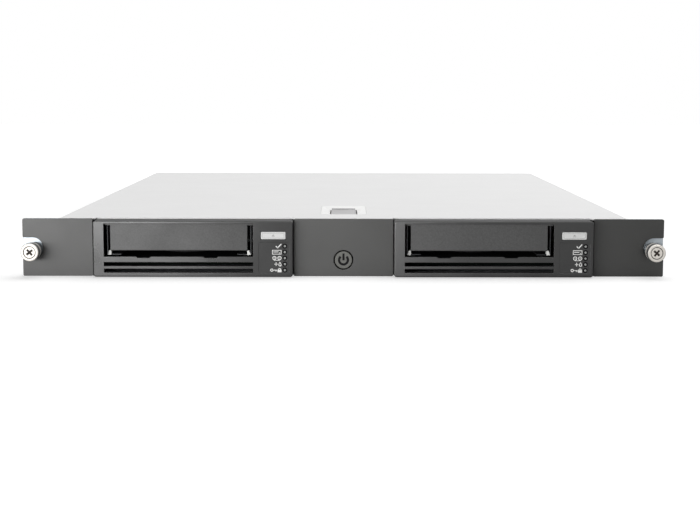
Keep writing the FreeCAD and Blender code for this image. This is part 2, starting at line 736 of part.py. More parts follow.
def bezel():
    """Hollow front with the cartridge slot, vents, button window and light wells."""
    outer = rounded((-half_bezel, half_bezel), (bezel_front, bezel_back), (bezel_bottom, bezel_top),
                    BEZEL_CORNER, Y_AXIS)
    rim = [edge for edge in outer.Edges if edge.BoundBox.YMax < bezel_front + FIT_GAP]
    outer = outer.makeFillet(BEZEL_EDGE, rim)
    wall_back = bezel_front + BEZEL_FRONT_WALL
    inside = block((BEZEL_WALL - half_bezel, half_bezel - BEZEL_WALL), (wall_back, bezel_back + CUT),
                   (bezel_bottom + BEZEL_WALL, bezel_top - BEZEL_WALL))
    body = cut(outer, [inside])
    front = (bezel_front - CUT, wall_back + CUT)
    slot_x = about(SLOT_OFFSET, 2 * slot_half)
    tools = [block(slot_x, front, (slot_bottom, slot_top))]
    for side in (-1, 1):
        tools.append(lip_notch(SLOT_OFFSET + LIP_NOTCH_OFFSET + side * LIP_NOTCH_SPACING / 2, front))
    for number in range(VENT_COUNT):
        low = bezel_bottom + VENT_RISE + number * VENT_PITCH
        tools.append(block(slot_x, front, (low, low + VENT_HEIGHT)))
    tools.append(block(about(EJECT_X, EJECT_WIDTH + 2 * SLIDE_GAP), front,
                       about(eject_z, EJECT_HEIGHT + 2 * SLIDE_GAP)))
    inset_z = bezel_bottom + CONTROL_INSET_RISE
    tools.append(rounded((CONTROL_INSET_LEFT, CONTROL_INSET_LEFT + CONTROL_INSET_WIDTH),
                         (bezel_front - CUT, bezel_front + CONTROL_INSET_DEPTH),
                         (inset_z, inset_z + CONTROL_INSET_HEIGHT), CONTROL_INSET_CORNER, Y_AXIS))
    for z in light_heights():
        tools.append(rod(LIGHT_X, (bezel_front - CUT, bezel_front + LIGHT_WELL_DEPTH), z, LIGHT_WELL_RADIUS))
        tools.append(rod(LIGHT_X, front, z, LIGHT_RADIUS + FIT_GAP))
    lug_y = (wall_back, hinge_y + DOOR_THICKNESS)
    lug_z = (hinge_z - DOOR_THICKNESS, bezel_top - BEZEL_WALL)
    lugs = [block(span, lug_y, lug_z) for span in lug_spans()]
    sockets = [rod(span, hinge_y, hinge_z, HINGE_PIN_RADIUS + RUN_GAP) for span in lug_spans()]
    return cut(join(cut(body, tools), *lugs), sockets)


def lip_notch(middle, depth):
    """Finger notch with sloped ends, cut down into the slot's lower lip."""
    low = about(middle, LIP_NOTCH_WIDTH - 2 * LIP_NOTCH_SLOPE)
    high = about(middle, LIP_NOTCH_WIDTH)
    floor = slot_bottom - LIP_NOTCH_DEPTH
    corners = [(low[0], floor), (low[1], floor), (high[1], slot_bottom), (high[1], slot_bottom + CUT),
               (high[0], slot_bottom + CUT), (high[0], slot_bottom)]
    points = [Vector(x, depth[0], z) for x, z in corners]
    face = Part.Face(Part.makePolygon(points + points[:1]))
    return face.extrude(Vector(0, depth[1] - depth[0], 0))


def lug_spans():
    """Low and high end, across the drive, of the two hinge lugs."""
    left = SLOT_OFFSET - slot_half
    right = SLOT_OFFSET + slot_half
    return [(left - SEAT_GAP - HINGE_LUG, left - SEAT_GAP), (right + SEAT_GAP, right + SEAT_GAP + HINGE_LUG)]


def door():
    """Flap that hangs from two pins at its top edge and swings inwards."""
    depth = (door_front, door_front + DOOR_THICKNESS)
    flap = block(about(SLOT_OFFSET, 2 * door_half), depth, (door_bottom, hinge_z))
    strip_x = about(SLOT_OFFSET, 2 * (slot_half - SEAT_GAP))
    strip = block(strip_x, depth, (slot_top - DOOR_STRIP, hinge_z))
    barrel = rod(strip_x, hinge_y, hinge_z, DOOR_THICKNESS / 2)
    pin = rod((lug_spans()[0][0], lug_spans()[1][1]), hinge_y, hinge_z, HINGE_PIN_RADIUS)
    body = join(flap, strip, barrel, pin)
    low = [edge for edge in body.Edges if along(edge, X_AXIS) and edge.CenterOfMass.z < door_bottom + FIT_GAP]
    return body.makeFillet(DOOR_EDGE, low)


def eject_button():
    """Push button held behind the bezel by its flange."""
    cap = rounded(about(EJECT_X, EJECT_WIDTH), (bezel_front - EJECT_PROUD, eject_flange_y[1]),
                  about(eject_z, EJECT_HEIGHT), EJECT_CORNER, Y_AXIS)
    rim = [edge for edge in cap.Edges if edge.BoundBox.YMax < bezel_front]
    cap = cap.makeChamfer(EJECT_EDGE, rim)
    flange = block(about(EJECT_X, EJECT_WIDTH + 2 * EJECT_FLANGE), eject_flange_y,
                   about(eject_z, EJECT_HEIGHT + 2 * EJECT_FLANGE))
    stem = block(about(EJECT_X, EJECT_STEM), (eject_flange_y[0], eject_stem_end), about(eject_z, EJECT_STEM))
    return join(cap, flange, stem)


def light_pipe():
    """Clear bar behind the bezel with a pin for each indicator light."""
    heights = light_heights()
    back = bezel_front + BEZEL_FRONT_WALL
    bar = block(about(LIGHT_X, LIGHT_BAR_WIDTH), (back, back + LIGHT_BAR_DEPTH),
                (heights[0] - LIGHT_BAR_WIDTH / 2, heights[-1] + LIGHT_BAR_WIDTH / 2))
    pins = [rod(LIGHT_X, (bezel_front + LENS_SINK, back), z, LIGHT_RADIUS) for z in heights]
    return join(bar, *pins)


def shaft_places():
    """Axis of the reel motor and of the take-up reel, as x and y."""
    return [(SLOT_OFFSET, motor_y), (REEL_X, reel_y)]


def roller_places():
    """Axis of the front and rear tape rollers, as x and y."""
    return [(TAPE_X, y) for y in about(head_y, ROLLER_SPACING)]


def board_span():
    """Depth range of the main circuit board."""
    return (bezel_back + BOARD_MARGIN, drive_back - BOARD_MARGIN)


def drive_hole_depths():
    """Depth of the mounting holes in a drive's side."""
    first = bezel_back + DRIVE_HOLE_SETBACK
    return [first, first + DRIVE_HOLE_SPACING]


def drive_base():
    """Cast frame: two sides, a rear wall and the deck that carries the tape transport."""
    depth = (bezel_back, drive_back)
    wall = block((half_drive - CAST_WALL, half_drive), depth, (drive_bottom, lid_under))
    back = block((-half_drive, half_drive), (drive_back - CAST_WALL, drive_back), (deck_bottom, lid_under))
    deck = block((-half_drive, half_drive), depth, (deck_bottom, deck_top))
    adds = both(wall) + [back]
    holes = []
    for x, y in shaft_places():
        adds.append(rod(x, y, (deck_bottom - SHAFT_BOSS, deck_bottom), SHAFT_BOSS_RADIUS))
        holes.append(rod(x, y, (deck_bottom - SHAFT_BOSS - CUT, deck_top + CUT), SHAFT_RADIUS + RUN_GAP))
    for x, y in roller_places():
        adds.append(rod(x, y, (deck_top, deck_top + ROLLER_LIFT), ROLLER_SHOULDER_RADIUS))
        adds.append(rod(x, y, (deck_top, roller_z[1] + SEAT_GAP), TAPE_POST_RADIUS))
    adds.append(rod(TAPE_X, head_y, (deck_top, head_z[1] + HEAD_TRAVEL + SEAT_GAP), TAPE_POST_RADIUS))
    runner_z = (deck_top, carriage_under - SLIDE_GAP)
    for side in (-1, 1):
        runner = about(SLOT_OFFSET + side * runner_x, RUNNER_WIDTH)
        adds.append(block(runner, (bezel_back, carriage_back + CARRIAGE_TRAVEL), runner_z))
    boss_x = half_drive - CAST_WALL - 2 * BOARD_BOSS_RADIUS
    for y in board_span():
        inward = 2 * BOARD_BOSS_RADIUS if y < head_y else -2 * BOARD_BOSS_RADIUS
        adds += both(rod(boss_x, y + inward, (board_top, deck_bottom), BOARD_BOSS_RADIUS))
    body = join(deck, *adds)
    rebate = block((half_drive - LID_SHEET, half_drive), depth, (drive_top - LID_FLANGE, lid_under))
    for y in drive_hole_depths():
        holes += both(rod((half_drive - CAST_WALL - CUT, half_drive + CUT), y, drive_bottom + DRIVE_HOLE_RISE,
                          SMALL_SCREW + FIT_GAP))
    return cut(body, both(rebate) + holes)


def drive_cover():
    """Folded lid over the drive."""
    depth = (bezel_back, drive_back)
    top = block((-half_drive, half_drive), depth, (lid_under, drive_top))
    flange = block((half_drive - LID_SHEET, half_drive), depth, (drive_top - LID_FLANGE, lid_under))
    return join(top, *both(flange))


def carriage():
    """Folded cradle that takes the cartridge in, with a round bend between its floor and sides."""
    depth = (carriage_front, carriage_back)
    span = about(SLOT_OFFSET, 2 * carriage_half)
    inner = (span[0] + CARRIAGE_SHEET, span[1] - CARRIAGE_SHEET)
    floor = block(span, depth, (carriage_under, carriage_floor))
    back = block(span, (carriage_back - CARRIAGE_SHEET, carriage_back), (carriage_under, carriage_top))
    sides = [block((span[0], inner[0]), depth, (carriage_under, carriage_top)),
             block((inner[1], span[1]), depth, (carriage_under, carriage_top))]
    body = join(floor, back, *sides)
    bends = [edge for edge in body.Edges if along(edge, Y_AXIS)
             and abs(edge.CenterOfMass.z - carriage_floor) < RUN_GAP
             and min(abs(edge.CenterOfMass.x - x) for x in inner) < RUN_GAP]
    body = body.makeFillet(CARRIAGE_BEND, bends)
    hollow = block((span[0] + CARRIAGE_STRIP, span[1] - CARRIAGE_STRIP),
                   (carriage_front - CUT, carriage_back - CARRIAGE_REAR_STRIP),
                   (carriage_under - CUT, carriage_floor + CUT))
    return cut(body, [hollow])


def reel_motor():
    """Flat rotor with a toothed chuck that grips the cartridge's reel."""
    x, y = shaft_places()[0]
    disc_bottom = deck_top + SEAT_GAP
    disc = rod(x, y, (disc_bottom, disc_bottom + MOTOR_THICKNESS), MOTOR_RADIUS)
    chuck = rod(x, y, (disc_bottom, chuck_top), CHUCK_RADIUS)
    shaft = rod(x, y, (deck_bottom - SHAFT_BOSS, disc_bottom), SHAFT_RADIUS)
    gaps = []
    for number in range(CHUCK_TEETH):
        gap = block((x + CHUCK_RADIUS / 2, x + CHUCK_RADIUS + CUT), about(y, CHUCK_TOOTH_GAP),
                    (chuck_top - CHUCK_TOOTH_DEPTH, chuck_top + CUT))
        gap.rotate(Vector(x, y, 0), Z_AXIS, number * 360 / CHUCK_TEETH)
        gaps.append(gap)
    return cut(join(disc, chuck, shaft), gaps)


def takeup_reel():
    """Flanged reel that winds the tape."""
    x, y = shaft_places()[1]
    bottom = deck_top + SEAT_GAP
    hub_top = bottom + 2 * REEL_FLANGE + REEL_WIDTH
    hub = rod(x, y, (bottom, hub_top), REEL_HUB_RADIUS)
    low = rod(x, y, (bottom, bottom + REEL_FLANGE), REEL_RADIUS)
    high = rod(x, y, (hub_top - REEL_FLANGE, hub_top), REEL_RADIUS)
    shaft = rod(x, y, (deck_bottom - SHAFT_BOSS, bottom), SHAFT_RADIUS)
    return join(hub, low, high, shaft)


def tape_roller(place):
    """Flanged roller on its post."""
    x, y = place
    barrel = rod(x, y, roller_z, ROLLER_RADIUS)
    low = rod(x, y, (roller_z[0], roller_z[0] + ROLLER_FLANGE), ROLLER_FLANGE_RADIUS)
    high = rod(x, y, (roller_z[1] - ROLLER_FLANGE, roller_z[1]), ROLLER_FLANGE_RADIUS)
    return cut(join(barrel, low, high), [rod(x, y, roller_z, TAPE_POST_RADIUS + RUN_GAP)])


def head():
    """Read and write head that rides up and down on a post."""
    body = block(about(TAPE_X, HEAD_WIDTH), about(head_y, HEAD_LENGTH), head_z)
    face_back = TAPE_X - HEAD_WIDTH / 2
    face = block((face_back - HEAD_FACE, face_back), about(head_y, HEAD_FACE_LENGTH), head_z)
    return cut(join(body, face), [rod(TAPE_X, head_y, head_z, TAPE_POST_RADIUS + RUN_GAP)])


def main_board():
    """Main board under the deck, the upright front board with the eject switch, and the rear plug."""
    width = DRIVE_WIDTH - 2 * CAST_WALL - 2 * SEAT_GAP
    board = block(about(0, width), board_span(), (board_bottom, board_top))
    riser_x = (EJECT_X - EJECT_WIDTH / 2, EJECT_X + EJECT_WIDTH / 2)
    riser_y = (riser_front, riser_front + BOARD_THICKNESS)
    riser = block(riser_x, riser_y, (board_bottom, eject_z + SWITCH_SIZE / 2))
    tongue = block(riser_x, (riser_y[0], board_span()[0]), (board_bottom, board_top))
    switch = block(about(EJECT_X, SWITCH_SIZE), (eject_switch_front, riser_front),
                   about(eject_z, SWITCH_SIZE))
    plug = block(about(0, PLUG_WIDTH), (plug_back - PLUG_DEPTH, plug_back),
                 (board_bottom - PLUG_HEIGHT, board_bottom))
    return join(board, riser, tongue, switch, plug)


# What holds the drives and ears

def bay_rails():
    """Pair of angles on the tray's floor, one at each side of a drive."""
    y = (bezel_back + BAY_RAIL_SETBACK, bezel_back + BAY_RAIL_SETBACK + BAY_RAIL_LENGTH)
    upright = block((half_drive, half_drive + BAY_RAIL_SHEET), y, (SHEET, SHEET + BAY_RAIL_HEIGHT))
    foot = block((half_drive, half_drive + BAY_RAIL_FOOT), y, (SHEET, SHEET + BAY_RAIL_SHEET))
    holes = [rod((half_drive - CUT, half_drive + BAY_RAIL_SHEET + CUT), depth, drive_bottom + DRIVE_HOLE_RISE,
                 SMALL_SCREW + FIT_GAP) for depth in drive_hole_depths()]
    return Part.makeCompound(both(cut(join(upright, foot), holes)))


def side_screw(x, y, z):
    """Screw driven inwards along X, its head's seat at x."""
    shank = rod((x - SMALL_SCREW_LENGTH, x), y, z, SMALL_SCREW)
    return join(shank, rod((x, x + SMALL_SCREW_HEAD_HEIGHT), y, z, SMALL_SCREW_HEAD))


def drive_screws():
    """Screws through the bay rails into both drives."""
    seat = half_drive + BAY_RAIL_SHEET
    one_drive = []
    for y in drive_hole_depths():
        one_drive += both(side_screw(seat, y, drive_bottom + DRIVE_HOLE_RISE))
    pair = Part.makeCompound(one_drive)
    return Part.makeCompound([pair.translated(Vector(x, 0, 0)) for x in (-drive_x, drive_x)])


def ear_screws():
    """Screws through the ear brackets into the tray."""
    screws = []
    for y, z in ear_screw_places():
        screws += both(side_screw(side_outer + BRACKET_SHEET, y, z))
    return Part.makeCompound(screws)


# Rear equipment

def fan_screws():
    """Screws through the rear wall into the fan frames."""
    screws = []
    for x, z in fan_screw_places():
        shank = rod(x, (rear - SMALL_SCREW_LENGTH, rear), z, SMALL_SCREW)
        screws += both(join(shank, rod(x, (rear, rear + SMALL_SCREW_HEAD_HEIGHT), z, SMALL_SCREW_HEAD)))
    return Part.makeCompound(screws)


def power_supply():
    """Closed supply case against the rear wall, with a pocket for the inlet."""
    case = rounded(about(0, SUPPLY_WIDTH), (supply_front, rear - SHEET), (SHEET, supply_top),
                   SUPPLY_CORNER, Y_AXIS)
    pocket = block(about(0, INLET_WIDTH + 2 * FIT_GAP), (rear - INLET_DEPTH - SEAT_GAP, rear),
                   about(inlet_z, INLET_HEIGHT + 2 * FIT_GAP))
    return cut(case, [pocket])


def power_inlet():
    """Appliance inlet: flange on the rear wall and a socket with two cut corners."""
    shell = block(about(0, INLET_WIDTH), (rear - INLET_DEPTH, rear + INLET_FLANGE),
                  about(inlet_z, INLET_HEIGHT))
    flange = rounded(about(0, INLET_WIDTH + 2 * INLET_FLANGE_MARGIN), (rear, rear + INLET_FLANGE),
                     about(inlet_z, INLET_HEIGHT + 2 * INLET_FLANGE_MARGIN), INLET_FLANGE_MARGIN, Y_AXIS)
    cavity = block(about(0, INLET_WIDTH - 2 * INLET_WALL), (inlet_floor, rear + INLET_FLANGE + CUT),
                   about(inlet_z, INLET_HEIGHT - 2 * INLET_WALL))
    top = inlet_z + INLET_HEIGHT / 2 - INLET_WALL
    corners = [edge for edge in cavity.Edges if along(edge, Y_AXIS)
               and abs(edge.CenterOfMass.z - top) < FIT_GAP]
    return cut(join(shell, flange), [cavity.makeChamfer(INLET_CORNER, corners)])


def inlet_pins():
    """Three flat contact pins on the inlet's floor."""
    depth = (inlet_floor, inlet_floor + PIN_LENGTH)
    side = block(about(PIN_SPACING, PIN_WIDTH), depth, about(inlet_z - PIN_DROP, PIN_HEIGHT))
    earth = block(about(0, PIN_WIDTH), depth, about(inlet_z + EARTH_PIN_RISE, PIN_HEIGHT))
    return Part.makeCompound(both(side) + [earth])


def fan_frame():
    """Square fan housing with a round duct, a hub plate on three struts and the rotor's pin."""
    depth = (fan_front, rear - SHEET)
    case = block(about(fan_x, fan_size), depth, about(fan_z, fan_size))
    tools = [rod(fan_x, depth, fan_z, fan_bore)]
    for x, z in fan_screw_places():
        tools.append(rod(x, depth, z, SMALL_SCREW + FIT_GAP))
    plate_y = (fan_front, fan_front + FAN_BACK)
    hub = rod(fan_x, plate_y, fan_z, FAN_HUB_RADIUS)
    pin = rod(fan_x, (fan_front, rear - SHEET - FAN_BACK), fan_z, FAN_PIN_RADIUS)
    struts = []
    for number in range(FAN_STRUTS):
        strut = block((fan_x, fan_x + fan_bore + FAN_RIM / 2), plate_y, about(fan_z, FAN_STRUT))
        strut.rotate(Vector(fan_x, 0, fan_z), Y_AXIS, number * 360 / FAN_STRUTS)
        struts.append(strut)
    return join(cut(case, tools), hub, pin, *struts)


def fan_rotor():
    """Rotor with pitched blades around a hub."""
    depth = (fan_front + FAN_BACK + SEAT_GAP, rear - SHEET - FAN_BACK)
    middle = sum(depth) / 2
    hub = rod(fan_x, depth, fan_z, FAN_HUB_RADIUS)
    sweep = rod(fan_x, depth, fan_z, fan_bore - FAN_TIP_GAP)
    blades = []
    for number in range(FAN_BLADES):
        blade = block((fan_x + FAN_HUB_RADIUS / 2, fan_x + fan_bore), about(middle, FAN_BLADE_CHORD),
                      about(fan_z, FAN_BLADE_THICKNESS))
        blade.rotate(Vector(fan_x, middle, fan_z), X_AXIS, FAN_BLADE_PITCH)
        blade.rotate(Vector(fan_x, 0, fan_z), Y_AXIS, number * 360 / FAN_BLADES)
        blades.append(blade.common(sweep))
    return cut(join(hub, *blades), [rod(fan_x, depth, fan_z, FAN_PIN_RADIUS + RUN_GAP)])


def data_port():
    """Metal-shelled data socket with a contact tongue."""
    z = (SHEET, SHEET + PORT_HEIGHT)
    back = rear + PORT_PROUD
    shell = block(about(port_x, PORT_WIDTH), (port_front, back), z)
    cavity = block(about(port_x, PORT_WIDTH - 2 * PORT_WALL), (back - PORT_CAVITY, back + CUT),
                   (z[0] + PORT_WALL, z[1] - PORT_WALL))
    tongue = block(about(port_x, TONGUE_WIDTH), (back - PORT_CAVITY, back - PORT_CAVITY + TONGUE_LENGTH),
                   about(sum(z) / 2, TONGUE_HEIGHT))
    return join(cut(shell, [cavity]), tongue)


def lead(start, end):
    """Round lead that leaves and arrives straight, with a tangent arc at each turn."""
    first = Vector(start.x, start.y + LEAD_RUN, start.z)
    last = Vector(end.x, end.y - LEAD_RUN, end.z)
    points = [start, first, last, end]
    edges = []
    here = start
    for before, corner, after in zip(points, points[1:], points[2:]):
        into = (corner - before).normalize()
        onward = (after - corner).normalize()
        turn = into.getAngle(onward)
        reach = LEAD_BEND_SHARE * min((corner - before).Length, (after - corner).Length)
        radius = reach / math.tan(turn / 2)
        begin = corner - into * reach
        finish = corner + onward * reach
        inward = (onward - into).normalize()
        middle = corner + inward * (radius / math.cos(turn / 2) - radius)
        edges += [Part.makeLine(here, begin), Part.Arc(begin, middle, finish).toShape()]
        here = finish
    edges.append(Part.makeLine(here, end))
    circle = Part.Wire([Part.makeCircle(LEAD_RADIUS, start, Y_AXIS)])
    return Part.Wire(edges).makePipeShell([circle], True, False)


def loom():
    """Right-hand data lead to the rear port and power lead from the supply."""
    plug = [Vector(drive_x + side * LEAD_SPLIT, plug_back, lead_z) for side in (1, -1)]
    data = lead(plug[0], Vector(port_x, port_front, lead_z))
    power = lead(plug[1], Vector(SUPPLY_LEAD_X, supply_front, lead_z))
    return Part.makeCompound([data, power])


NODES = {
    "chassis_tray": chassis_tray(),
    "top_cover": top_cover(),
    "latch_housing": latch_housing(),
    "latch_button": latch_button(),
    "latch_spring": latch_spring(),
    "centre_panel": centre_panel(),
    "power_button": power_button(),
    "power_switch_board": power_switch_board(),
    "drive_screws": drive_screws(),
    "ear_screws": ear_screws(),
    "fan_screws": fan_screws(),
    "power_supply": power_supply(),
    "power_inlet": power_inlet(),
    "inlet_pins": inlet_pins(),
}
PAIRS = {
    "ear_bracket": ear_bracket(),
    "ear_panel": ear_panel(),
    "rack_screw": rack_screw(),
    "screw_ferrule": screw_ferrule(),
    "thrust_washer": thrust_washer(),
    "fan_frame": fan_frame(),
    "fan_rotor": fan_rotor(),
    "data_port": data_port(),
    "loom": loom(),
}
DRIVE = {
    "bezel": bezel(),
    "door": door(),
    "eject_button": eject_button(),
    "light_pipe": light_pipe(),
    "drive_base": drive_base(),
    "drive_cover": drive_cover(),
    "carriage": carriage(),
    "reel_motor": reel_motor(),
    "takeup_reel": takeup_reel(),
    "head": head(),
    "front_roller": tape_roller(roller_places()[0]),
    "rear_roller": tape_roller(roller_places()[1]),
    "main_board": main_board(),
    "bay_rails": bay_rails(),
}

for name, shape in PAIRS.items():
    NODES["right_" + name] = shape
    NODES["left_" + name] = mirrored(shape)
for name, shape in DRIVE.items():
    NODES["left_" + name] = shape.translated(Vector(-drive_x, 0, 0))
    NODES["right_" + name] = shape.translated(Vector(drive_x, 0, 0))

os.makedirs("parts", exist_ok=True)
for name, shape in NODES.items():
    shape.exportStep(os.path.join("parts", name + ".step"))
print(len(NODES), "nodes")
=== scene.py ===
# %% [markdown]
# # A one-unit rack enclosure with two tape drives
# A pale sheet-steel enclosure holds two half-height tape drives side by side behind dark front panels.
# The CAD part already has every panel, drive and fastener at its real size.
# This script gives each of them its finish and adds what is printed, knurled, threaded or wound on them,
# because such small relief is made last on the real object too.

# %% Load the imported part
import bpy
import bmesh
import json
import math
from mathutils import Matrix, Vector


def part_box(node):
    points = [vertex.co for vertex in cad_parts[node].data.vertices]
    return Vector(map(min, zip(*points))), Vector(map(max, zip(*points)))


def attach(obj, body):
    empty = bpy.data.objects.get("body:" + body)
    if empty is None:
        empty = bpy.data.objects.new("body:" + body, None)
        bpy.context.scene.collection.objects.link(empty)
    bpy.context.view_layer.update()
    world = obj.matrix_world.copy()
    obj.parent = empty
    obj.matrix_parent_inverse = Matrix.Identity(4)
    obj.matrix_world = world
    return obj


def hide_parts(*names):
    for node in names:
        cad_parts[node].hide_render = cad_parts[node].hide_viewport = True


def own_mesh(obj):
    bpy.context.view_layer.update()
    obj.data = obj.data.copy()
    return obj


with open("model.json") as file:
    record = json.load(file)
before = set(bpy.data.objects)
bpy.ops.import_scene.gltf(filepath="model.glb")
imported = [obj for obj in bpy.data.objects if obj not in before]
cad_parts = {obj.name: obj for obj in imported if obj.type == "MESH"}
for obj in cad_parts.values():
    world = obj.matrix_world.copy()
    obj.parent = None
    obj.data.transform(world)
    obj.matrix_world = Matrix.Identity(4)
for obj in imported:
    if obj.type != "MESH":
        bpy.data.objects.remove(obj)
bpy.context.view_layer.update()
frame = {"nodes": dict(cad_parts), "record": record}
nodes = frame["nodes"]

# %% [markdown]
# ## Colours
# Finishes are written as they look on a screen, from 0 to 255, and turned into light here.
# A shader adds light, so it needs the linear value and not the screen's.

# %% Colour helper


def light_of(value):
    """Linear light of one screen channel."""
    share = value / 255
    if share <= 0.04045:
        return share / 12.92
    return ((share + 0.055) / 1.055) ** 2.4


def paint(red, green, blue):
    """Colour for a shader socket."""
    return (light_of(red), light_of(green), light_of(blue), 1.0)


print("mid grey 128 in linear light:", round(light_of(128), 3))

# %% [markdown]
# ## Surface effects that several finishes share
# Moulded and painted surfaces have a fine grain that breaks up their shine.
# It could be an image, but noise in the object's own coordinates needs no seam and keeps its real scale.
# Each effect is one node group, so that paint, plastic and steel only differ in their values.

# %% Node group helper


def effect(name, inputs, outputs):
    """Empty shader group with named sockets, and its input and output nodes."""
    tree = bpy.data.node_groups.new(name, "ShaderNodeTree")
    kinds = {"value": "NodeSocketFloat", "colour": "NodeSocketColor", "vector": "NodeSocketVector"}
    for socket, kind, start in inputs:
        made = tree.interface.new_socket(socket, in_out="INPUT", socket_type=kinds[kind])
        made.default_value = start
    for socket, kind in outputs:
        tree.interface.new_socket(socket, in_out="OUTPUT", socket_type=kinds[kind])
    return tree, tree.nodes.new("NodeGroupInput"), tree.nodes.new("NodeGroupOutput")


def feed(tree, place, source):
    """Links an input to another node's output, or sets it to a plain value."""
    if isinstance(source, bpy.types.NodeSocket):
        tree.links.new(source, place)
    else:
        place.default_value = source


def fed(tree, node, **sources):
    """A node with its named inputs fed, where an underscore stands for a space in the name."""
    for name, source in sources.items():
        feed(tree, node.inputs[name.replace("_", " ")], source)
    return node


def new_node(tree, kind, **sources):
    """A new node with its named inputs fed."""
    return fed(tree, tree.nodes.new(kind), **sources)


def math_node(tree, kind, operation, *sources):
    """A new math node with its inputs fed in their order."""
    node = tree.nodes.new(kind)
    node.operation = operation
    for place, source in zip(node.inputs, sources):
        feed(tree, place, source)
    return node


def arithmetic(tree, operation, *sources):
    """Result of a sum on numbers."""
    return math_node(tree, "ShaderNodeMath", operation, *sources).outputs["Value"]


def vector_math(tree, operation, *sources):
    """Node for a sum on vectors, whose result is a vector or a value."""
    return math_node(tree, "ShaderNodeVectorMath", operation, *sources)


def remap(tree, source, low, high, first=0.3, last=0.7):
    """Value stretched to a new range, by default from the useful middle of a noise."""
    node = new_node(tree, "ShaderNodeMapRange", Value=source, From_Min=first, From_Max=last, To_Min=low,
                    To_Max=high)
    return node.outputs["Result"]


def tinted(tree, colour, value):
    """Colour made lighter or darker by a value about 1."""
    return new_node(tree, "ShaderNodeHueSaturation", Color=colour, Value=value).outputs["Color"]


def blended(tree, share, first, second):
    """Mix of two colours."""
    node = tree.nodes.new("ShaderNodeMix")
    node.data_type = "RGBA"
    return fed(tree, node, Factor=share, A=first, B=second).outputs["Result"]


def noise_at(tree, scale, detail, stretch=None):
    """Noise in the object's coordinates, stretched along an axis where asked."""
    source = tree.nodes.new("ShaderNodeTexCoord").outputs["Object"]
    if stretch:
        source = new_node(tree, "ShaderNodeMapping", Vector=source, Scale=stretch).outputs["Vector"]
    return new_node(tree, "ShaderNodeTexNoise", Vector=source, Scale=scale, Detail=detail).outputs["Fac"]


print("node helpers ready")

# %% [markdown]
# The grain is two noises: a fine one for the pimples of the mould or the paint, and a broad one for
# the uneven shine that handling leaves. Any such surface gives a colour, a roughness and a height for the
# bump, so two helpers make the sockets and the last links, for the next group too.

# %% Fine grain
HANDLING_SCALE = 35.0


def surface_effect(name):
    """Empty group for a surface of uneven colour and shine."""
    return effect(
        name,
        [("Colour", "colour", (0.5, 0.5, 0.5, 1)), ("Unevenness", "value", 0.05), ("Scale", "value", 2500.0),
         ("Roughness", "value", 0.5), ("Roughness Spread", "value", 0.1)],
        [("Colour", "colour"), ("Roughness", "value"), ("Height", "value")])


def spread_over(tree, given, result, shading, shining, height):
    """Links a group's outputs: colour shaded and roughness changed by values about 0, and the height."""
    shade = arithmetic(tree, "MULTIPLY_ADD", shading, given.outputs["Unevenness"], 1.0)
    shine = arithmetic(tree, "MULTIPLY", shining, given.outputs["Roughness Spread"])
    fed(tree, result, Colour=tinted(tree, given.outputs["Colour"], shade),
        Roughness=arithmetic(tree, "ADD", shine, given.outputs["Roughness"]), Height=height)


def make_fine_grain():
    """Speckled colour, uneven roughness and a height for the bump."""
    tree, given, result = surface_effect("fine_grain")
    fine = noise_at(tree, given.outputs["Scale"], detail=3.0)
    broad = noise_at(tree, HANDLING_SCALE, detail=4.0)
    swing = remap(tree, fine, -1.0, 1.0)
    drift = remap(tree, broad, -1.0, 1.0)
    spread_over(tree, given, result, swing, drift, fine)
    return tree


fine_grain = make_fine_grain()
print("made", fine_grain.name)

# %% [markdown]
# Rolled and plated steel shows long streaks along the rolling direction, here from front to rear.
# The same noise does it when its coordinates are squeezed along that axis.

# %% Rolled streaks
CLOUD_SCALE = 22.0
ALONG_THE_ROLL = (1.0, 0.02, 1.0)


def make_rolled_streaks():
    """Streaked colour and roughness of rolled or brushed sheet."""
    tree, given, result = surface_effect("rolled_streaks")
    streak = noise_at(tree, given.outputs["Scale"], detail=4.0, stretch=ALONG_THE_ROLL)
    cloud = noise_at(tree, CLOUD_SCALE, detail=4.0)
    swing = remap(tree, streak, -1.0, 1.0)
    drift = remap(tree, cloud, -1.0, 1.0)
    spread_over(tree, given, result, arithmetic(tree, "ADD", swing, drift), swing, streak)
    return tree


rolled_streaks = make_rolled_streaks()
print("made", rolled_streaks.name)

# %% [markdown]
# No folded or moulded edge is sharp. The edge group rounds the shading over a fraction of a millimetre,
# and where the rounded normal leaves the flat one, handling has polished the surface.

# %% Soft and worn edges
WEAR_SCALE = 180.0
WEAR_GAIN = 5.0
EDGE_SAMPLES = 4


def make_soft_edge():
    """Rounded normal at edges, and the colour that shows through there."""
    tree, given, result = effect(
        "soft_edge",
        [("Colour", "colour", (0.5, 0.5, 0.5, 1)), ("Worn Colour", "colour", (0.7, 0.7, 0.7, 1)),
         ("Width", "value", 0.0004), ("Wear", "value", 0.4)],
        [("Colour", "colour"), ("Normal", "vector")])
    bevel = new_node(tree, "ShaderNodeBevel", Radius=given.outputs["Width"])
    bevel.samples = EDGE_SAMPLES
    surface = tree.nodes.new("ShaderNodeNewGeometry")
    facing = vector_math(tree, "DOT_PRODUCT", bevel.outputs["Normal"], surface.outputs["Normal"])
    away = arithmetic(tree, "SUBTRACT", 1.0, facing.outputs["Value"])
    patchy = remap(tree, noise_at(tree, WEAR_SCALE, detail=3.0), 0.1, 1.0)
    worn = arithmetic(tree, "MULTIPLY", arithmetic(tree, "MULTIPLY", away, WEAR_GAIN), patchy)
    share = arithmetic(tree, "MULTIPLY", worn, given.outputs["Wear"])
    share.node.use_clamp = True
    fed(tree, result, Colour=blended(tree, share, given.outputs["Colour"], given.outputs["Worn Colour"]),
        Normal=bevel.outputs["Normal"])
    return tree


soft_edge = make_soft_edge()
print("made", soft_edge.name)

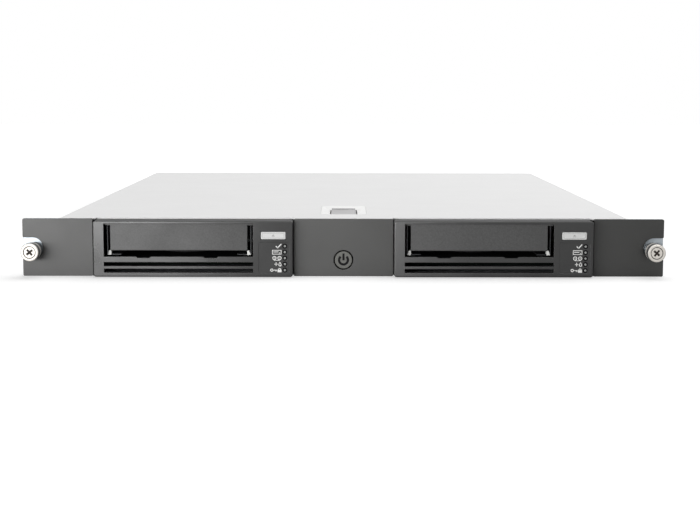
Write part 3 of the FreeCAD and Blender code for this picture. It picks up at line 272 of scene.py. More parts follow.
# %% [markdown]
# A little dust lies on what faces upwards. It lightens dark plastic and dulls bright steel.
# The tops of the moulded fronts are also left coarse by the mould, which takes their shine away.

# %% Settled dust
DUST_SCALE = 70.0
DUST_DULLS = 0.3


def make_settled_dust():
    """Pale film on surfaces that face up."""
    tree, given, result = effect(
        "settled_dust",
        [("Colour", "colour", (0.5, 0.5, 0.5, 1)), ("Dust Colour", "colour", paint(206, 203, 196)),
         ("Amount", "value", 0.1), ("Roughness", "value", 0.5), ("Dull Top", "value", 0.0)],
        [("Colour", "colour"), ("Roughness", "value")])
    surface = tree.nodes.new("ShaderNodeNewGeometry")
    split = new_node(tree, "ShaderNodeSeparateXYZ", Vector=surface.outputs["Normal"])
    upward = arithmetic(tree, "MAXIMUM", split.outputs["Z"], 0.0)
    patchy = remap(tree, noise_at(tree, DUST_SCALE, detail=5.0), 0.2, 1.0)
    lying = arithmetic(tree, "MULTIPLY", upward, patchy)
    share = arithmetic(tree, "MULTIPLY", lying, given.outputs["Amount"])
    share.node.use_clamp = True
    dulled = arithmetic(tree, "MULTIPLY", share, DUST_DULLS)
    dusty = arithmetic(tree, "ADD", given.outputs["Roughness"], dulled)
    coarse = arithmetic(tree, "MULTIPLY", upward, given.outputs["Dull Top"])
    fed(tree, result, Colour=blended(tree, share, given.outputs["Colour"], given.outputs["Dust Colour"]),
        Roughness=arithmetic(tree, "ADD", dusty, coarse))
    return tree


settled_dust = make_settled_dust()
print("made", settled_dust.name)

# %% [markdown]
# The face of each drive's bezel and door is crowned a little, so that it doesn't look hollow.
# On a face this flat only the shine tells, so the crown turns the normal and leaves the mesh alone.

# %% Crowned face


def make_crowned_face():
    """Normal of a front that bulges gently about the middle of each drive."""
    tree, given, result = effect(
        "crowned_face", [("Normal", "vector", (0, -1, 0)), ("Crown", "value", 0.05)], [("Normal", "vector")])
    low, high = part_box("right_bezel")
    drive_x, half_wide = (low.x + high.x) / 2, (high.x - low.x) / 2
    spot = tree.nodes.new("ShaderNodeTexCoord")
    place = new_node(tree, "ShaderNodeSeparateXYZ", Vector=spot.outputs["Object"])
    middle = arithmetic(tree, "MULTIPLY", arithmetic(tree, "SIGN", place.outputs["X"]), drive_x)
    share = arithmetic(tree, "DIVIDE", arithmetic(tree, "SUBTRACT", place.outputs["X"], middle), half_wide)
    facing = new_node(tree, "ShaderNodeSeparateXYZ", Vector=given.outputs["Normal"])
    frontal = arithmetic(tree, "MAXIMUM", arithmetic(tree, "MULTIPLY", facing.outputs["Y"], -1.0), 0.0)
    lean = arithmetic(tree, "MULTIPLY", arithmetic(tree, "MULTIPLY", share, given.outputs["Crown"]), frontal)
    sideways = new_node(tree, "ShaderNodeCombineXYZ", X=lean)
    leaning = vector_math(tree, "ADD", given.outputs["Normal"], sideways.outputs["Vector"])
    unit = vector_math(tree, "NORMALIZE", leaning.outputs["Vector"])
    fed(tree, result, Normal=unit.outputs["Vector"])
    return tree


crowned_face = make_crowned_face()
print("made", crowned_face.name)

# %% [markdown]
# ## Finishes
# A finish is the chain surface, edge, dust, shader. Plastic and paint start from the grain, sheet metal from
# the streaks. Only the values differ, which is how one paint shop coats many parts. The two colours are the
# surface's own and the one that shows on worn edges; relief and edge width are in metres.

# %% Finish builder
GRAIN_STRENGTH = 0.35
looks = {}


def place_group(tree, group, **sources):
    """A shared effect placed in a material with its own values."""
    node = tree.nodes.new("ShaderNodeGroup")
    node.node_tree = group
    return fed(tree, node, **sources)


def finish(name, colour, worn, roughness, metallic=0.0, surface=None, speckle=0.06, scale=2500.0, spread=0.08,
           relief=0.00004, edge=0.0004, wear=0.3, dust=0.05, shine=0.5, dull_top=0.0, crown=0.0):
    """Material of surface effect, soft edges, dust and shader, kept in looks under its name."""
    material = bpy.data.materials.new(name)
    material.use_nodes = True
    tree = material.node_tree
    grain = place_group(tree, surface or fine_grain, Colour=paint(*colour), Unevenness=speckle, Scale=scale,
                        Roughness=roughness, Roughness_Spread=spread)
    edges = place_group(tree, soft_edge, Colour=grain.outputs["Colour"], Worn_Colour=paint(*worn), Width=edge,
                        Wear=wear)
    film = place_group(tree, settled_dust, Colour=edges.outputs["Colour"], Amount=dust,
                       Roughness=grain.outputs["Roughness"], Dull_Top=dull_top)
    bump = new_node(tree, "ShaderNodeBump", Strength=GRAIN_STRENGTH, Distance=relief,
                    Height=grain.outputs["Height"], Normal=edges.outputs["Normal"])
    normal = bump.outputs["Normal"]
    if crown:
        normal = place_group(tree, crowned_face, Normal=normal, Crown=crown).outputs["Normal"]
    fed(tree, tree.nodes["Principled BSDF"], Base_Color=film.outputs["Colour"], Metallic=metallic,
        Roughness=film.outputs["Roughness"], Specular_IOR_Level=shine, Normal=normal)
    looks[name] = material
    return material


def coat(name, *pieces):
    """Puts one finish on CAD pieces."""
    for piece in pieces:
        for place in nodes[piece].material_slots:
            place.material = looks[name]


bare_edge = (236, 236, 234)
print("worn steel in linear light:", [round(part, 3) for part in paint(*bare_edge)[:3]])

# %% [markdown]
# The front is moulded in charcoal plastic with a fine spark-eroded grain: panels, bezels and doors differ
# by a shade because they come from different tools, and the bezels' darker tone is also painted shade for
# the dim control end of each drive. The eject button is nearly white, and the power cap is a worn grey that
# shows its symbol darker.

# %% Plastics of the front
finish("panel_grey", (51, 51, 50), (100, 100, 100), 0.36, scale=3200.0, spread=0.05, relief=0.00002,
       wear=0.16, dust=0.0, shine=0.55, dull_top=0.6)
finish("bezel_grey", (33, 33, 33), (84, 84, 84), 0.31, speckle=0.09, scale=2600.0, spread=0.05,
       relief=0.00002, wear=0.14, dust=0.0, shine=0.8, dull_top=0.6, crown=0.105)
finish("door_grey", (68, 68, 68), (118, 118, 118), 0.44, speckle=0.17, scale=1000.0, relief=0.00006,
       wear=0.14, dust=0.02, crown=0.08)
finish("eject_grey", (210, 210, 209), (240, 240, 238), 0.42, speckle=0.03, relief=0.00002, edge=0.0003,
       dust=0.02)
finish("power_cap", (99, 99, 95), (156, 156, 152), 0.42, speckle=0.16, scale=1500.0, relief=0.00005,
       edge=0.0003, wear=0.35, dust=0.03)
print("front finishes:", sorted(looks))

# %% [markdown]
# The enclosure is zinc-coated sheet. The cover has a pale paint over it, the tray is left bare, and the
# rack ears carry a bright, slightly blue passivation.

# %% Sheet metal


def sheet(name, colour, worn, roughness, **values):
    """Finish of rolled sheet."""
    return finish(name, colour, worn, roughness, surface=rolled_streaks, **values)


sheet("cover_steel", (226, 226, 226), (242, 242, 242), 0.5, speckle=0.012, scale=500.0, spread=0.05,
      relief=0.00002, dust=0.03)
sheet("tray_steel", (182, 185, 188), bare_edge, 0.44, metallic=0.8, speckle=0.05, dust=0.06)
sheet("bracket_steel", (178, 186, 192), (226, 232, 236), 0.4, metallic=0.6, speckle=0.03, dust=0.0)
sheet("supply_steel", (188, 190, 192), bare_edge, 0.4, metallic=0.85, speckle=0.05)
sheet("lid_steel", (142, 144, 146), (196, 197, 198), 0.5, metallic=0.6, speckle=0.05)
# The carriage's near-black is partly a dark coating and partly painted shade for the dim inside of the slot.
sheet("carriage_steel", (46, 47, 49), (90, 90, 90), 0.4, metallic=0.5, speckle=0.05, wear=0.1, dust=0.0)
sheet("port_steel", (206, 207, 206), bare_edge, 0.3, metallic=0.9, speckle=0.04)
finish("spring_steel", (92, 96, 99), (180, 182, 184), 0.36, metallic=0.7)
print("finishes so far:", len(looks))

# %% [markdown]
# Turned and cast pieces: nickel-plated knobs and screws, a near-black drive frame, a ferrite-grey head.
# The latch is moulded in two pale greys. The drive frame, the motor and the boards are near-black as painted
# shade, for the dark inside that shows behind the vents and the slot.

# %% Turned, cast and moulded pieces
finish("knob_steel", (222, 217, 210), (240, 238, 234), 0.34, metallic=0.3, speckle=0.03, scale=4000.0,
       relief=0.00001, edge=0.0003, dust=0.02)
finish("screw_steel", (196, 196, 194), bare_edge, 0.3, metallic=0.9, speckle=0.05, scale=4000.0,
       relief=0.00001, edge=0.0002, dust=0.02)
# Painted shade: the drive frame and the motor are near-black for the dark inside the drive.
finish("cast_alloy", (13, 13, 14), (44, 44, 44), 0.7, speckle=0.10, scale=900.0, relief=0.00008, dust=0.0,
       shine=0.2)
finish("motor_steel", (52, 52, 53), (96, 96, 96), 0.6, speckle=0.05, dust=0.0, shine=0.2)
finish("head_alloy", (120, 122, 126), (190, 190, 190), 0.35, metallic=0.6)
finish("pin_brass", (214, 190, 132), (240, 226, 180), 0.28, metallic=0.95, speckle=0.04, edge=0.0003)
finish("latch_tray", (242, 242, 241), (250, 250, 250), 0.46, speckle=0.01, dust=0.02)
finish("latch_grey", (168, 167, 168), (204, 204, 204), 0.46, scale=2200.0, dust=0.03)
finish("reel_plastic", (58, 58, 60), (120, 120, 120), 0.4, speckle=0.05)
finish("roller_plastic", (206, 204, 196), (230, 230, 226), 0.4, speckle=0.04)
finish("fan_black", (30, 30, 31), (84, 84, 84), 0.45, speckle=0.08, dust=0.12)
finish("socket_black", (26, 26, 27), (80, 80, 80), 0.42, speckle=0.08)
finish("lead_black", (28, 28, 29), (60, 60, 60), 0.5, speckle=0.08, wear=0.1)
# Painted shade: the boards are near-black for the dark behind the vents.
finish("circuit_board", (8, 14, 11), (30, 30, 24), 0.85, speckle=0.18, scale=420.0, relief=0.00005, dust=0.0,
       shine=0.05)
print("finishes so far:", len(looks))

# %% [markdown]
# The light pipes are clear acrylic. They stay pale because the lamps behind them are off, so a milky, partly
# transmitting plastic stands for them.

# %% Light pipes
LENS_CLEARNESS = 0.25
lens = finish("lens_clear", (176, 178, 176), (210, 210, 210), 0.25, speckle=0.02, relief=0.00001, dust=0.0)
lens.node_tree.nodes["Principled BSDF"].inputs["Transmission Weight"].default_value = LENS_CLEARNESS
print("light pipes let through", LENS_CLEARNESS)

# %% [markdown]
# The record gives each piece a material slot, and the finish of that name goes on it. The centre panel is
# painted a shade lighter than the ears, and the ferrules and washers behind the knobs are dark as painted
# shade, the shadow that each knob casts behind it, so these get a finish of their own.

# %% Finishes on the pieces
for piece in frame["record"]["subparts"]:
    coat(piece["material_slot"], piece["node"])
# The centre panel's wide, pale edge colour is partly wear and mostly a painted highlight, a light line along
# each of its edges.
finish("centre_grey", (67, 67, 66), (150, 150, 148), 0.36, scale=3200.0, spread=0.05, relief=0.00002,
       edge=0.0006, dust=0.0, shine=0.6, dull_top=0.6)
coat("centre_grey", "centre_panel")
# Painted shade: the ferrules and washers are dark for the shadow behind each knob.
finish("shade_dark_steel", (52, 54, 55), (120, 122, 122), 0.5, metallic=0.5, edge=0.0002, dust=0.0)
coat("shade_dark_steel", "left_screw_ferrule", "right_screw_ferrule", "left_thrust_washer",
     "right_thrust_washer")
print("finishes placed on", len(nodes), "pieces")

# %% [markdown]
# ## Printed and engraved marks
# The button's standby mark, the light marks and the eject mark are pad-printed or engraved. On the engraved
# standby mark and the eject button's frame the film is painted shade in the groove.
# They could be decals, but a thin raised film of ink keeps its edge at any distance, so each mark is
# drawn as a flat outline facing the front and given a few hundredths of a millimetre of thickness.
# From here to the small screws, lengths are written in millimetres and turned into metres in the meshes.

# %% Mark helpers
MM = 0.001


def ring_outline(x, z, inner, outer, start, end, steps=28):
    """Outline of part of a ring, angles in degrees from the right, counted upwards."""
    turns = [math.radians(start + (end - start) * step / steps) for step in range(steps + 1)]
    far = [(x + outer * math.cos(turn), z + outer * math.sin(turn)) for turn in turns]
    near = [(x + inner * math.cos(turn), z + inner * math.sin(turn)) for turn in reversed(turns)]
    return far + near


def full_ring(x, z, inner, outer):
    """Two half rings that close to a whole one."""
    return [ring_outline(x, z, inner, outer, 0, 180), ring_outline(x, z, inner, outer, 180, 360)]


def bar_outline(x, z, width, height):
    """Outline of an upright rectangle about its middle."""
    return [(x - width / 2, z - height / 2), (x + width / 2, z - height / 2),
            (x + width / 2, z + height / 2), (x - width / 2, z + height / 2)]


def stroke_outline(start, end, width):
    """Outline of a straight stroke of a pen."""
    along = Vector(end) - Vector(start)
    side = Vector((-along.y, along.x)).normalized() * width / 2
    points = [Vector(start) + side, Vector(start) - side, Vector(end) - side, Vector(end) + side]
    return [tuple(point) for point in points]


def finished_piece(name, mesh, body, look):
    """Object from a mesh, with its finish, riding on a body of the part."""
    piece = bpy.data.objects.new(name, mesh)
    bpy.context.scene.collection.objects.link(piece)
    mesh.materials.append(look)
    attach(piece, body)
    return piece


def skin(shape, rings):
    """Faces between each ring of points and the next, all the way round."""
    for first, second in zip(rings, rings[1:]):
        for number in range(len(first)):
            after = (number + 1) % len(first)
            shape.faces.new((first[number], first[after], second[after], second[number]))


def capped_skin(shape, rings):
    """A skin that is closed at both ends."""
    skin(shape, rings)
    shape.faces.new(rings[0])
    shape.faces.new(list(reversed(rings[-1])))


def outward_mesh(name, shape):
    """Mesh of a finished shape, with its faces turned outwards."""
    bmesh.ops.recalc_face_normals(shape, faces=shape.faces[:])
    mesh = bpy.data.meshes.new(name)
    shape.to_mesh(mesh)
    shape.free()
    return mesh


def mark(name, outlines, front, depth, body, look):
    """Flat outlines in millimetres, facing the front, as one thin film."""
    shape = bmesh.new()
    for outline in outlines:
        corners = [shape.verts.new((x * MM, front * MM, z * MM)) for x, z in outline]
        face = shape.faces.new(corners)
        pushed = bmesh.ops.extrude_face_region(shape, geom=[face])
        moved = [part for part in pushed["geom"] if isinstance(part, bmesh.types.BMVert)]
        bmesh.ops.translate(shape, verts=moved, vec=(0, depth * MM, 0))
    return finished_piece(name, outward_mesh(name, shape), body, look)


def ink(name, colour, worn, roughness, **values):
    """Finish of a thin film, with hardly any edge."""
    return finish(name, colour, worn, roughness, relief=0.00001, edge=0.00005, wear=0.1, dust=0.0, **values)


INK = 0.03
ink_white = ink("ink_white", (232, 232, 230), (210, 210, 210), 0.5, speckle=0.05)
# The dark film is painted shade: in engraved grooves, in the power button's gap and on the floors of the
# light wells.
shade_film = ink("shade_film", (24, 24, 25), (48, 48, 48), 0.7, speckle=0.08, shine=0.1)
print("ink thickness in mm:", INK)

# %% [markdown]
# The power cap carries the common standby mark: a ring that is open at the top with a bar in the gap.
# The mark is engraved, and its dark film is painted shade in the groove.

# %% Standby mark
STANDBY_RING = (2.5, 4.2)
STANDBY_SWEEP = (130, 410)
STANDBY_STEPS = 48
STANDBY_BAR = (1.6, 5.2)
STANDBY_BAR_RISE = 2.4
cap_low, cap_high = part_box("power_button")
cap_z = (cap_low.z + cap_high.z) / 2 / MM
cap_front = cap_low.y / MM
standby = [ring_outline(0, cap_z, *STANDBY_RING, *STANDBY_SWEEP, STANDBY_STEPS),
           bar_outline(0, cap_z + STANDBY_BAR_RISE, *STANDBY_BAR)]
mark("standby_mark", standby, cap_front, -INK, "power", shade_film)
print("standby mark at height", round(cap_z, 1), "mm")

# %% [markdown]
# A black ring film lies on the button's flange, in the gap between the cap and the panel. It is painted
# shade, so that the gap reads as a dark ring.

# %% Painted shade in the gap of the power button
PANEL_THICKNESS = 3.0
RUN_GAP = 0.05
GAP_SHADE_RING = (6.52, 7.46)
flange_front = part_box("centre_panel")[0].y / MM + PANEL_THICKNESS + RUN_GAP
mark("gap_shade_ring", full_ring(0, cap_z, *GAP_SHADE_RING), flange_front, -INK, "power", shade_film)
print("gap shade ring at depth", round(flange_front, 2), "mm")

# %% [markdown]
# Beside each indicator light stands a small white mark that says what it is for: a tick for ready, a drive,
# a tape reel, a drop for cleaning and a padlock. Plain pictograms are read in any country.
# Each one is drawn around its own middle and then set beside its light.

# %% Light marks


def tick_mark():
    """Ready: a bold tick."""
    return [stroke_outline((-2.0, 0.1), (-0.6, -1.4), 0.75), stroke_outline((-0.85, -1.4), (2.0, 1.6), 0.75)]


def drive_mark():
    """A drive with its slot and button."""
    frame_bars = [bar_outline(0, 1.45, 7.0, 0.45), bar_outline(0, -1.45, 7.0, 0.45),
                  bar_outline(-3.27, 0, 0.45, 2.45), bar_outline(3.27, 0, 0.45, 2.45)]
    return frame_bars + [bar_outline(-0.7, 0.2, 3.8, 0.55), bar_outline(2.1, -0.55, 0.7, 0.55)]


def reel_mark():
    """Two reels joined by a run of tape."""
    reels = []
    for x in (-1.9, 1.9):
        reels += full_ring(x, 0.1, 0.95, 1.5)
        reels.append(bar_outline(x, 0.1, 0.6, 0.6))
    return reels + [bar_outline(0, -1.6, 4.4, 0.4)]


def drop_mark():
    """A drop, and the gleam of a clean surface beside it."""
    drop = [ring_outline(1.3, -0.55, 0.55, 1.15, 150, 390), stroke_outline((0.45, -0.05), (1.3, 1.65), 0.5),
            stroke_outline((2.15, -0.05), (1.3, 1.65), 0.5)]
    gleam = [bar_outline(-1.6, 0.0, 0.5, 2.8), bar_outline(-2.45, 0.0, 0.9, 0.5),
             bar_outline(-0.75, 0.0, 0.9, 0.5)]
    return drop + gleam


def padlock_mark():
    """A padlock, with its key beside it."""
    lock = [bar_outline(2.9, -0.65, 3.0, 1.9), ring_outline(2.9, 0.3, 0.65, 1.2, 0, 180)]
    key = full_ring(-2.9, 0.0, 0.6, 1.2)
    bit = [bar_outline(-0.35, 0.0, 2.7, 0.5), bar_outline(0.05, -0.6, 0.45, 0.75),
           bar_outline(0.8, -0.6, 0.45, 0.75)]
    return lock + key + bit


SIDES = {"left": -1, "right": 1}
LIGHTS = 5
LIGHT_BAR_END = 1.8
INSET_DEPTH = 0.3
MARK_GAP = 2.5
MARKS = [(padlock_mark, 4.4), (drop_mark, 2.45), (reel_mark, 3.4), (drive_mark, 3.5), (tick_mark, 2.2)]


def light_places(side):
    """Middle of each indicator light of a drive, lowest first, in millimetres."""
    low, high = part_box(side + "_light_pipe")
    first, last = low.z / MM + LIGHT_BAR_END, high.z / MM - LIGHT_BAR_END
    x = (low.x + high.x) / 2 / MM
    return [(x, first + (last - first) * number / (LIGHTS - 1)) for number in range(LIGHTS)]


for side in SIDES:
    inset_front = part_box(side + "_bezel")[0].y / MM + INSET_DEPTH
    outlines = []
    for (drawn, half_width), (light_x, height) in zip(MARKS, light_places(side)):
        middle = light_x - MARK_GAP - half_width
        outlines += [[(middle + x, height + z) for x, z in outline] for outline in drawn()]
    mark(side + "_light_marks", outlines, inset_front, -INK, "chassis", ink_white)
    print(side, "light marks:", len(outlines), "strokes")

# %% [markdown]
# Each light sits in a small round well. A black film on the well's floor is painted shade, so that the lens
# reads as a bright dot.

# %% Black floors of the light wells
WELL_DEPTH = 0.7
WELL_RING = (0.92, 1.86)
for side in SIDES:
    well_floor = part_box(side + "_bezel")[0].y / MM + WELL_DEPTH
    rings = []
    for x, height in light_places(side):
        rings += full_ring(x, height, *WELL_RING)
    mark(side + "_light_well_floors", rings, well_floor, -INK, "chassis", shade_film)
    print(side, "well floors:", len(rings) // 2)

# %% [markdown]
# The eject button has a fine engraved frame near its rim and the usual eject mark, a triangle over a bar,
# both in a grey that only just shows. On the engraved frame the grey is painted shade in the groove.

# %% Eject button marks
EJECT_HALF_WIDE = 8.0
EJECT_HALF_HIGH = 1.8
EJECT_LINE = 0.22
grey_ink_and_shade = ink("grey_ink_and_shade", (158, 158, 157), (200, 200, 200), 0.5, speckle=0.04)


def eject_lines(x, z):
    """Frame, triangle and bar about the middle of an eject button."""
    across, upright = 2 * EJECT_HALF_WIDE, 2 * EJECT_HALF_HIGH - EJECT_LINE
    lines = [bar_outline(x, z + rise, across, EJECT_LINE) for rise in (EJECT_HALF_HIGH, -EJECT_HALF_HIGH)]
    lines += [bar_outline(x + shift, z, EJECT_LINE, upright) for shift in (-EJECT_HALF_WIDE, EJECT_HALF_WIDE)]
    lines.append([(x - 1.1, z - 0.1), (x + 1.1, z - 0.1), (x, z + 0.95)])
    lines.append(bar_outline(x, z - 0.65, 2.2, 0.35))
    return lines


for side in SIDES:
    low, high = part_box(side + "_eject_button")
    x, z, front = (low.x + high.x) / 2 / MM, (low.z + high.z) / 2 / MM, low.y / MM
    mark(side + "_eject_mark", eject_lines(x, z), front, -INK, side + "_eject", grey_ink_and_shade)
    print(side, "eject mark on the face at", round(front, 2), "mm")

# %% [markdown]
# ## Captive rack screws
# The knob is turned from bar and straight-knurled so that fingers can grip it.
# A knurl is a row of small ridges around a cylinder, so it is built from rings of points that alternate
# between crest and root, two points of each to a ridge.

# %% Knurled sleeve of each knob
screw_low, screw_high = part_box("right_rack_screw")
SCREW_X = (screw_low.x + screw_high.x) / 2 / MM
SCREW_Z = (screw_low.z + screw_high.z) / 2 / MM
KNOB_RADIUS = (screw_high.x - screw_low.x) / 2 / MM
KNOB_FRONT = screw_low.y / MM
KNURL_SPAN = (1.4, 6.6)
KNURL_SKIN = 0.02
KNURL_CREST = 0.24
KNURL_BEVEL = 0.35
KNURL_RIDGES = 44
ON_CREST = (True, True, False, False)


def point_about(x, z, radius, turn, y):
    """Point in metres at a radius and an angle about an axis along Y, from millimetres."""
    return ((x + radius * math.cos(turn)) * MM, y * MM, (z + radius * math.sin(turn)) * MM)


def knurled_sleeve(name, x, z):
    """Ring around an axis along Y whose outside is knurled and whose ends are bevelled."""
    front, back = [KNOB_FRONT + depth for depth in KNURL_SPAN]
    inner, root, crest = KNOB_RADIUS - KNURL_SKIN, KNOB_RADIUS + KNURL_SKIN, KNOB_RADIUS + KNURL_CREST
    shape = bmesh.new()
    stations = [(front, inner, inner), (front, root, root), (front + KNURL_BEVEL, root, crest),
                (back - KNURL_BEVEL, root, crest), (back, root, root), (back, inner, inner)]
    rings = []
    count = KNURL_RIDGES * len(ON_CREST)
    for y, valley, hill in stations:
        ring = []
        for number in range(count):
            turn = 2 * math.pi * number / count
            radius = hill if ON_CREST[number % len(ON_CREST)] else valley
            ring.append(shape.verts.new(point_about(x, z, radius, turn, y)))
        rings.append(ring)
    skin(shape, rings)
    return outward_mesh(name, shape)


# Painted shade: the knurl is darker than the knob's face for the shade on the knob's side.
shaded_knurl = finish("shaded_knurl", (84, 86, 88), (168, 168, 166), 0.42, metallic=0.6, speckle=0.08,
                    relief=0.00001, edge=0.0001, wear=0.4, dust=0.0)
for side, sign in SIDES.items():
    mesh = knurled_sleeve(side + "_knob_knurl", sign * SCREW_X, SCREW_Z)
    finished_piece(side + "_knob_knurl", mesh, side + "_screw", shaded_knurl)
    print(side, "knurl:", len(mesh.polygons), "faces")

# %% [markdown]
# The driver cross and the ring groove of the knob look nearly black. A thin dark film on the floor of each
# recess is painted shade there and leaves the plated walls bright.

# %% Painted shade in the driver cross and the ring groove
CROSS_DEPTH = 1.8
CROSS_LENGTH = 5.56
CROSS_WIDTH = 1.56
CROSS_TURN = math.radians(40.0)
GROOVE_DEPTH = 0.8
GROOVE = (4.12, 4.68)
# Painted shade: a brownish near-black for the floors of the knob's recesses.
recess_shade = finish("recess_shade", (42, 34, 28), (74, 66, 58), 0.7, speckle=0.2, scale=1800.0, relief=0.00003,
               edge=0.00005, wear=0.1, dust=0.0)


def turned_outline(outline, x, z, turn):
    """Outline about the origin, turned and set at a place."""
    cosine, sine = math.cos(turn), math.sin(turn)
    return [(x + u * cosine - v * sine, z + u * sine + v * cosine) for u, v in outline]


arm = (CROSS_LENGTH - CROSS_WIDTH) / 2
bars = [bar_outline(0, 0, CROSS_LENGTH, CROSS_WIDTH),
        bar_outline(0, (CROSS_WIDTH + arm) / 2, CROSS_WIDTH, arm),
        bar_outline(0, -(CROSS_WIDTH + arm) / 2, CROSS_WIDTH, arm)]
for side, sign in SIDES.items():
    cross = [turned_outline(bar, sign * SCREW_X, SCREW_Z, -sign * CROSS_TURN) for bar in bars]
    mark(side + "_cross_shade", cross, KNOB_FRONT + CROSS_DEPTH, -INK, side + "_screw", recess_shade)
    groove = full_ring(sign * SCREW_X, SCREW_Z, *GROOVE)
    mark(side + "_groove_shade", groove, KNOB_FRONT + GROOVE_DEPTH, -INK, side + "_screw", recess_shade)
    print(side, "recess floors:", len(cross) + len(groove))

# %% [markdown]
# Behind the knob a coil spring pushes the screw back out of the rack. It is wound from round wire.
# A sweep of a small circle along a helix makes it. The screw's
# thread is the same sweep with a low triangle, wound on the shank.

# %% Return springs and screw threads


def coil_mesh(name, x, z, start, end, radius, turns, section, steps=20):
    """Closed tube of a given cross-section, as pairs of radial and axial offset, swept along a helix on Y."""
    shape = bmesh.new()
    count = int(turns * steps)
    rings = []
    for number in range(count + 1):
        share = number / count
        turn = 2 * math.pi * turns * share
        y = start + (end - start) * share
        rings.append([shape.verts.new(point_about(x, z, radius + out, turn, y + along))
                      for out, along in section])
    capped_skin(shape, rings)
    for face in shape.faces:
        face.smooth = True
    return outward_mesh(name, shape)


WIRE = 0.42
WIRE_TURNS = [math.radians(turn) for turn in range(0, 360, 45)]
round_wire = [(WIRE * math.cos(turn), WIRE * math.sin(turn)) for turn in WIRE_TURNS]
SPRING_RADIUS = 5.5
SPRING_TURNS = 4.5
SPRING_FRONT = -307.5
SPRING_BACK = -299.1
THREAD_FRONT = -294.0
THREAD_BACK = -288.4
THREAD_RADIUS = 3.0
THREAD_TURNS = 5.6
thread_ridge = [(-0.05, -0.42), (0.22, 0.0), (-0.05, 0.42)]
for side, sign in SIDES.items():
    mesh = coil_mesh(side + "_return_spring", sign * SCREW_X, SCREW_Z, SPRING_FRONT, SPRING_BACK,
                     SPRING_RADIUS, SPRING_TURNS, round_wire)
    spring = finished_piece(side + "_return_spring", mesh, "chassis", looks["spring_steel"])
    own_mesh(spring)
    mesh = coil_mesh(side + "_screw_thread", sign * SCREW_X, SCREW_Z, THREAD_FRONT, THREAD_BACK,
                     THREAD_RADIUS, THREAD_TURNS, thread_ridge, steps=32)
    finished_piece(side + "_screw_thread", mesh, side + "_screw", looks["knob_steel"])
    print(side, "spring and thread:", len(spring.data.polygons), len(mesh.polygons), "faces")

# %% [markdown]
# ## Cartridge guides
# A white moulded shoe sits over each front corner of the cartridge carriage, below the door's ends, so that
# the cartridge slides in on plastic and not on a sheet edge. Its section is a wedge with a rounded top,
# drawn once for the left corner, mirrored for the right one and drawn out along the travel.

# %% Corner shoes
SHOE_OUTER = 0.45
SHOE_INNER = 3.2
SHOE_RISE = 3.6
SHOE_ROUND = 0.9
SHOE_ARC = 150
SHOE_STEPS = 8
SHOE_SKIN = 0.05
SHOE_LENGTH = 5.0
SHOE_LEAD = 0.5
# The shoes' white is partly their plastic and partly a painted highlight for the light on the carriage's
# front corners.
corner_highlight_white = finish("corner_highlight_white", (238, 238, 235), (246, 246, 244), 0.4, speckle=0.03, relief=0.00001,
                     edge=0.0003, wear=0.1, dust=0.0)


def shoe_section():
    """Outline of the shoe as distance inwards from the carriage's side and height above its underside."""
    turns = [math.radians(SHOE_ARC * step / SHOE_STEPS) for step in range(SHOE_STEPS + 1)]
    top = [(SHOE_INNER - SHOE_ROUND + SHOE_ROUND * math.cos(turn),
            SHOE_RISE - SHOE_ROUND + SHOE_ROUND * math.sin(turn)) for turn in turns]
    return [(SHOE_OUTER, SHOE_SKIN), (SHOE_INNER, SHOE_SKIN)] + top


for side in SIDES:
    low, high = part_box(side + "_carriage")
    left_shoe = [(low.x / MM + u, low.z / MM + v) for u, v in shoe_section()]
    right_shoe = [(high.x / MM - u, low.z / MM + v) for u, v in shoe_section()]
    shoes = mark(side + "_corner_shoes", [left_shoe, right_shoe], low.y / MM - SHOE_LEAD, SHOE_LENGTH,
                 side + "_carriage", corner_highlight_white)
    print(side, "corner shoes:", len(shoes.data.polygons), "faces")

# %% [markdown]
# ## Cover latch
# The latch button is a cushion-shaped pad that nearly fills its well and stands a little higher than the
# plain solid, so that a thumb finds it. It is lofted from rounded rectangles, one above the other, and its
# top is hollowed towards the middle. A low rib near the rear edge stops the thumb, and a boolean joins it on.

# %% Latch button
PAD_CORNER = 1.4
PAD_CORNER_LEAST = 0.6
PAD_SINK = 1.25
PAD_EDGE = 0.5
PAD_EDGE_KNEE = 0.3
PAD_HOLLOW = 0.35
HOLLOW_SLOPE = (0.35, 0.6)
HOLLOW_FLOOR = 0.7
RIB_SETBACK = 0.5
RIB_THICK = 1.2
RIB_RISE = 0.75
RIB_ROOT = 0.6
RIB_INSET = 0.3
RIB_TURNS = [math.radians(turn) for turn in range(0, 181, 30)]


def rounded_ring(half_wide, half_long, corner, steps=6):
    """Points of a rounded rectangle about the origin, counted from the right side upwards."""
    points = []
    for quarter, (sign_x, sign_y) in enumerate(((1, 1), (-1, 1), (-1, -1), (1, -1))):
        for step in range(steps + 1):
            turn = math.radians(90 * (quarter + step / steps))
            points.append((sign_x * (half_wide - corner) + corner * math.cos(turn),
                           sign_y * (half_long - corner) + corner * math.sin(turn)))
    return points


def cushion_pad(name, low, high, top):
    """Mesh of the pad between a box's corners in millimetres, up to a given top."""
    middle = (low + high) / 2
    wide, long = (high.x - low.x) / 2, (high.y - low.y) / 2
    knee = PAD_EDGE_KNEE * PAD_EDGE
    inwards, downwards = HOLLOW_SLOPE
    levels = [(0.0, low.z), (0.0, top - PAD_EDGE), (knee, top - knee), (PAD_EDGE, top),
              (inwards * wide, top - downwards * PAD_HOLLOW), (HOLLOW_FLOOR * wide, top - PAD_HOLLOW)]
    shape = bmesh.new()
    rings = []
    for inset, height in levels:
        corner = max(PAD_CORNER - inset, PAD_CORNER_LEAST)
        rings.append([shape.verts.new(((middle.x + x) * MM, (middle.y + y) * MM, height * MM))
                      for x, y in rounded_ring(wide - inset, long - inset, corner)])
    skin(shape, rings)
    shape.faces.new(list(reversed(rings[0])))
    shape.faces.new(rings[-1])
    return outward_mesh(name, shape)


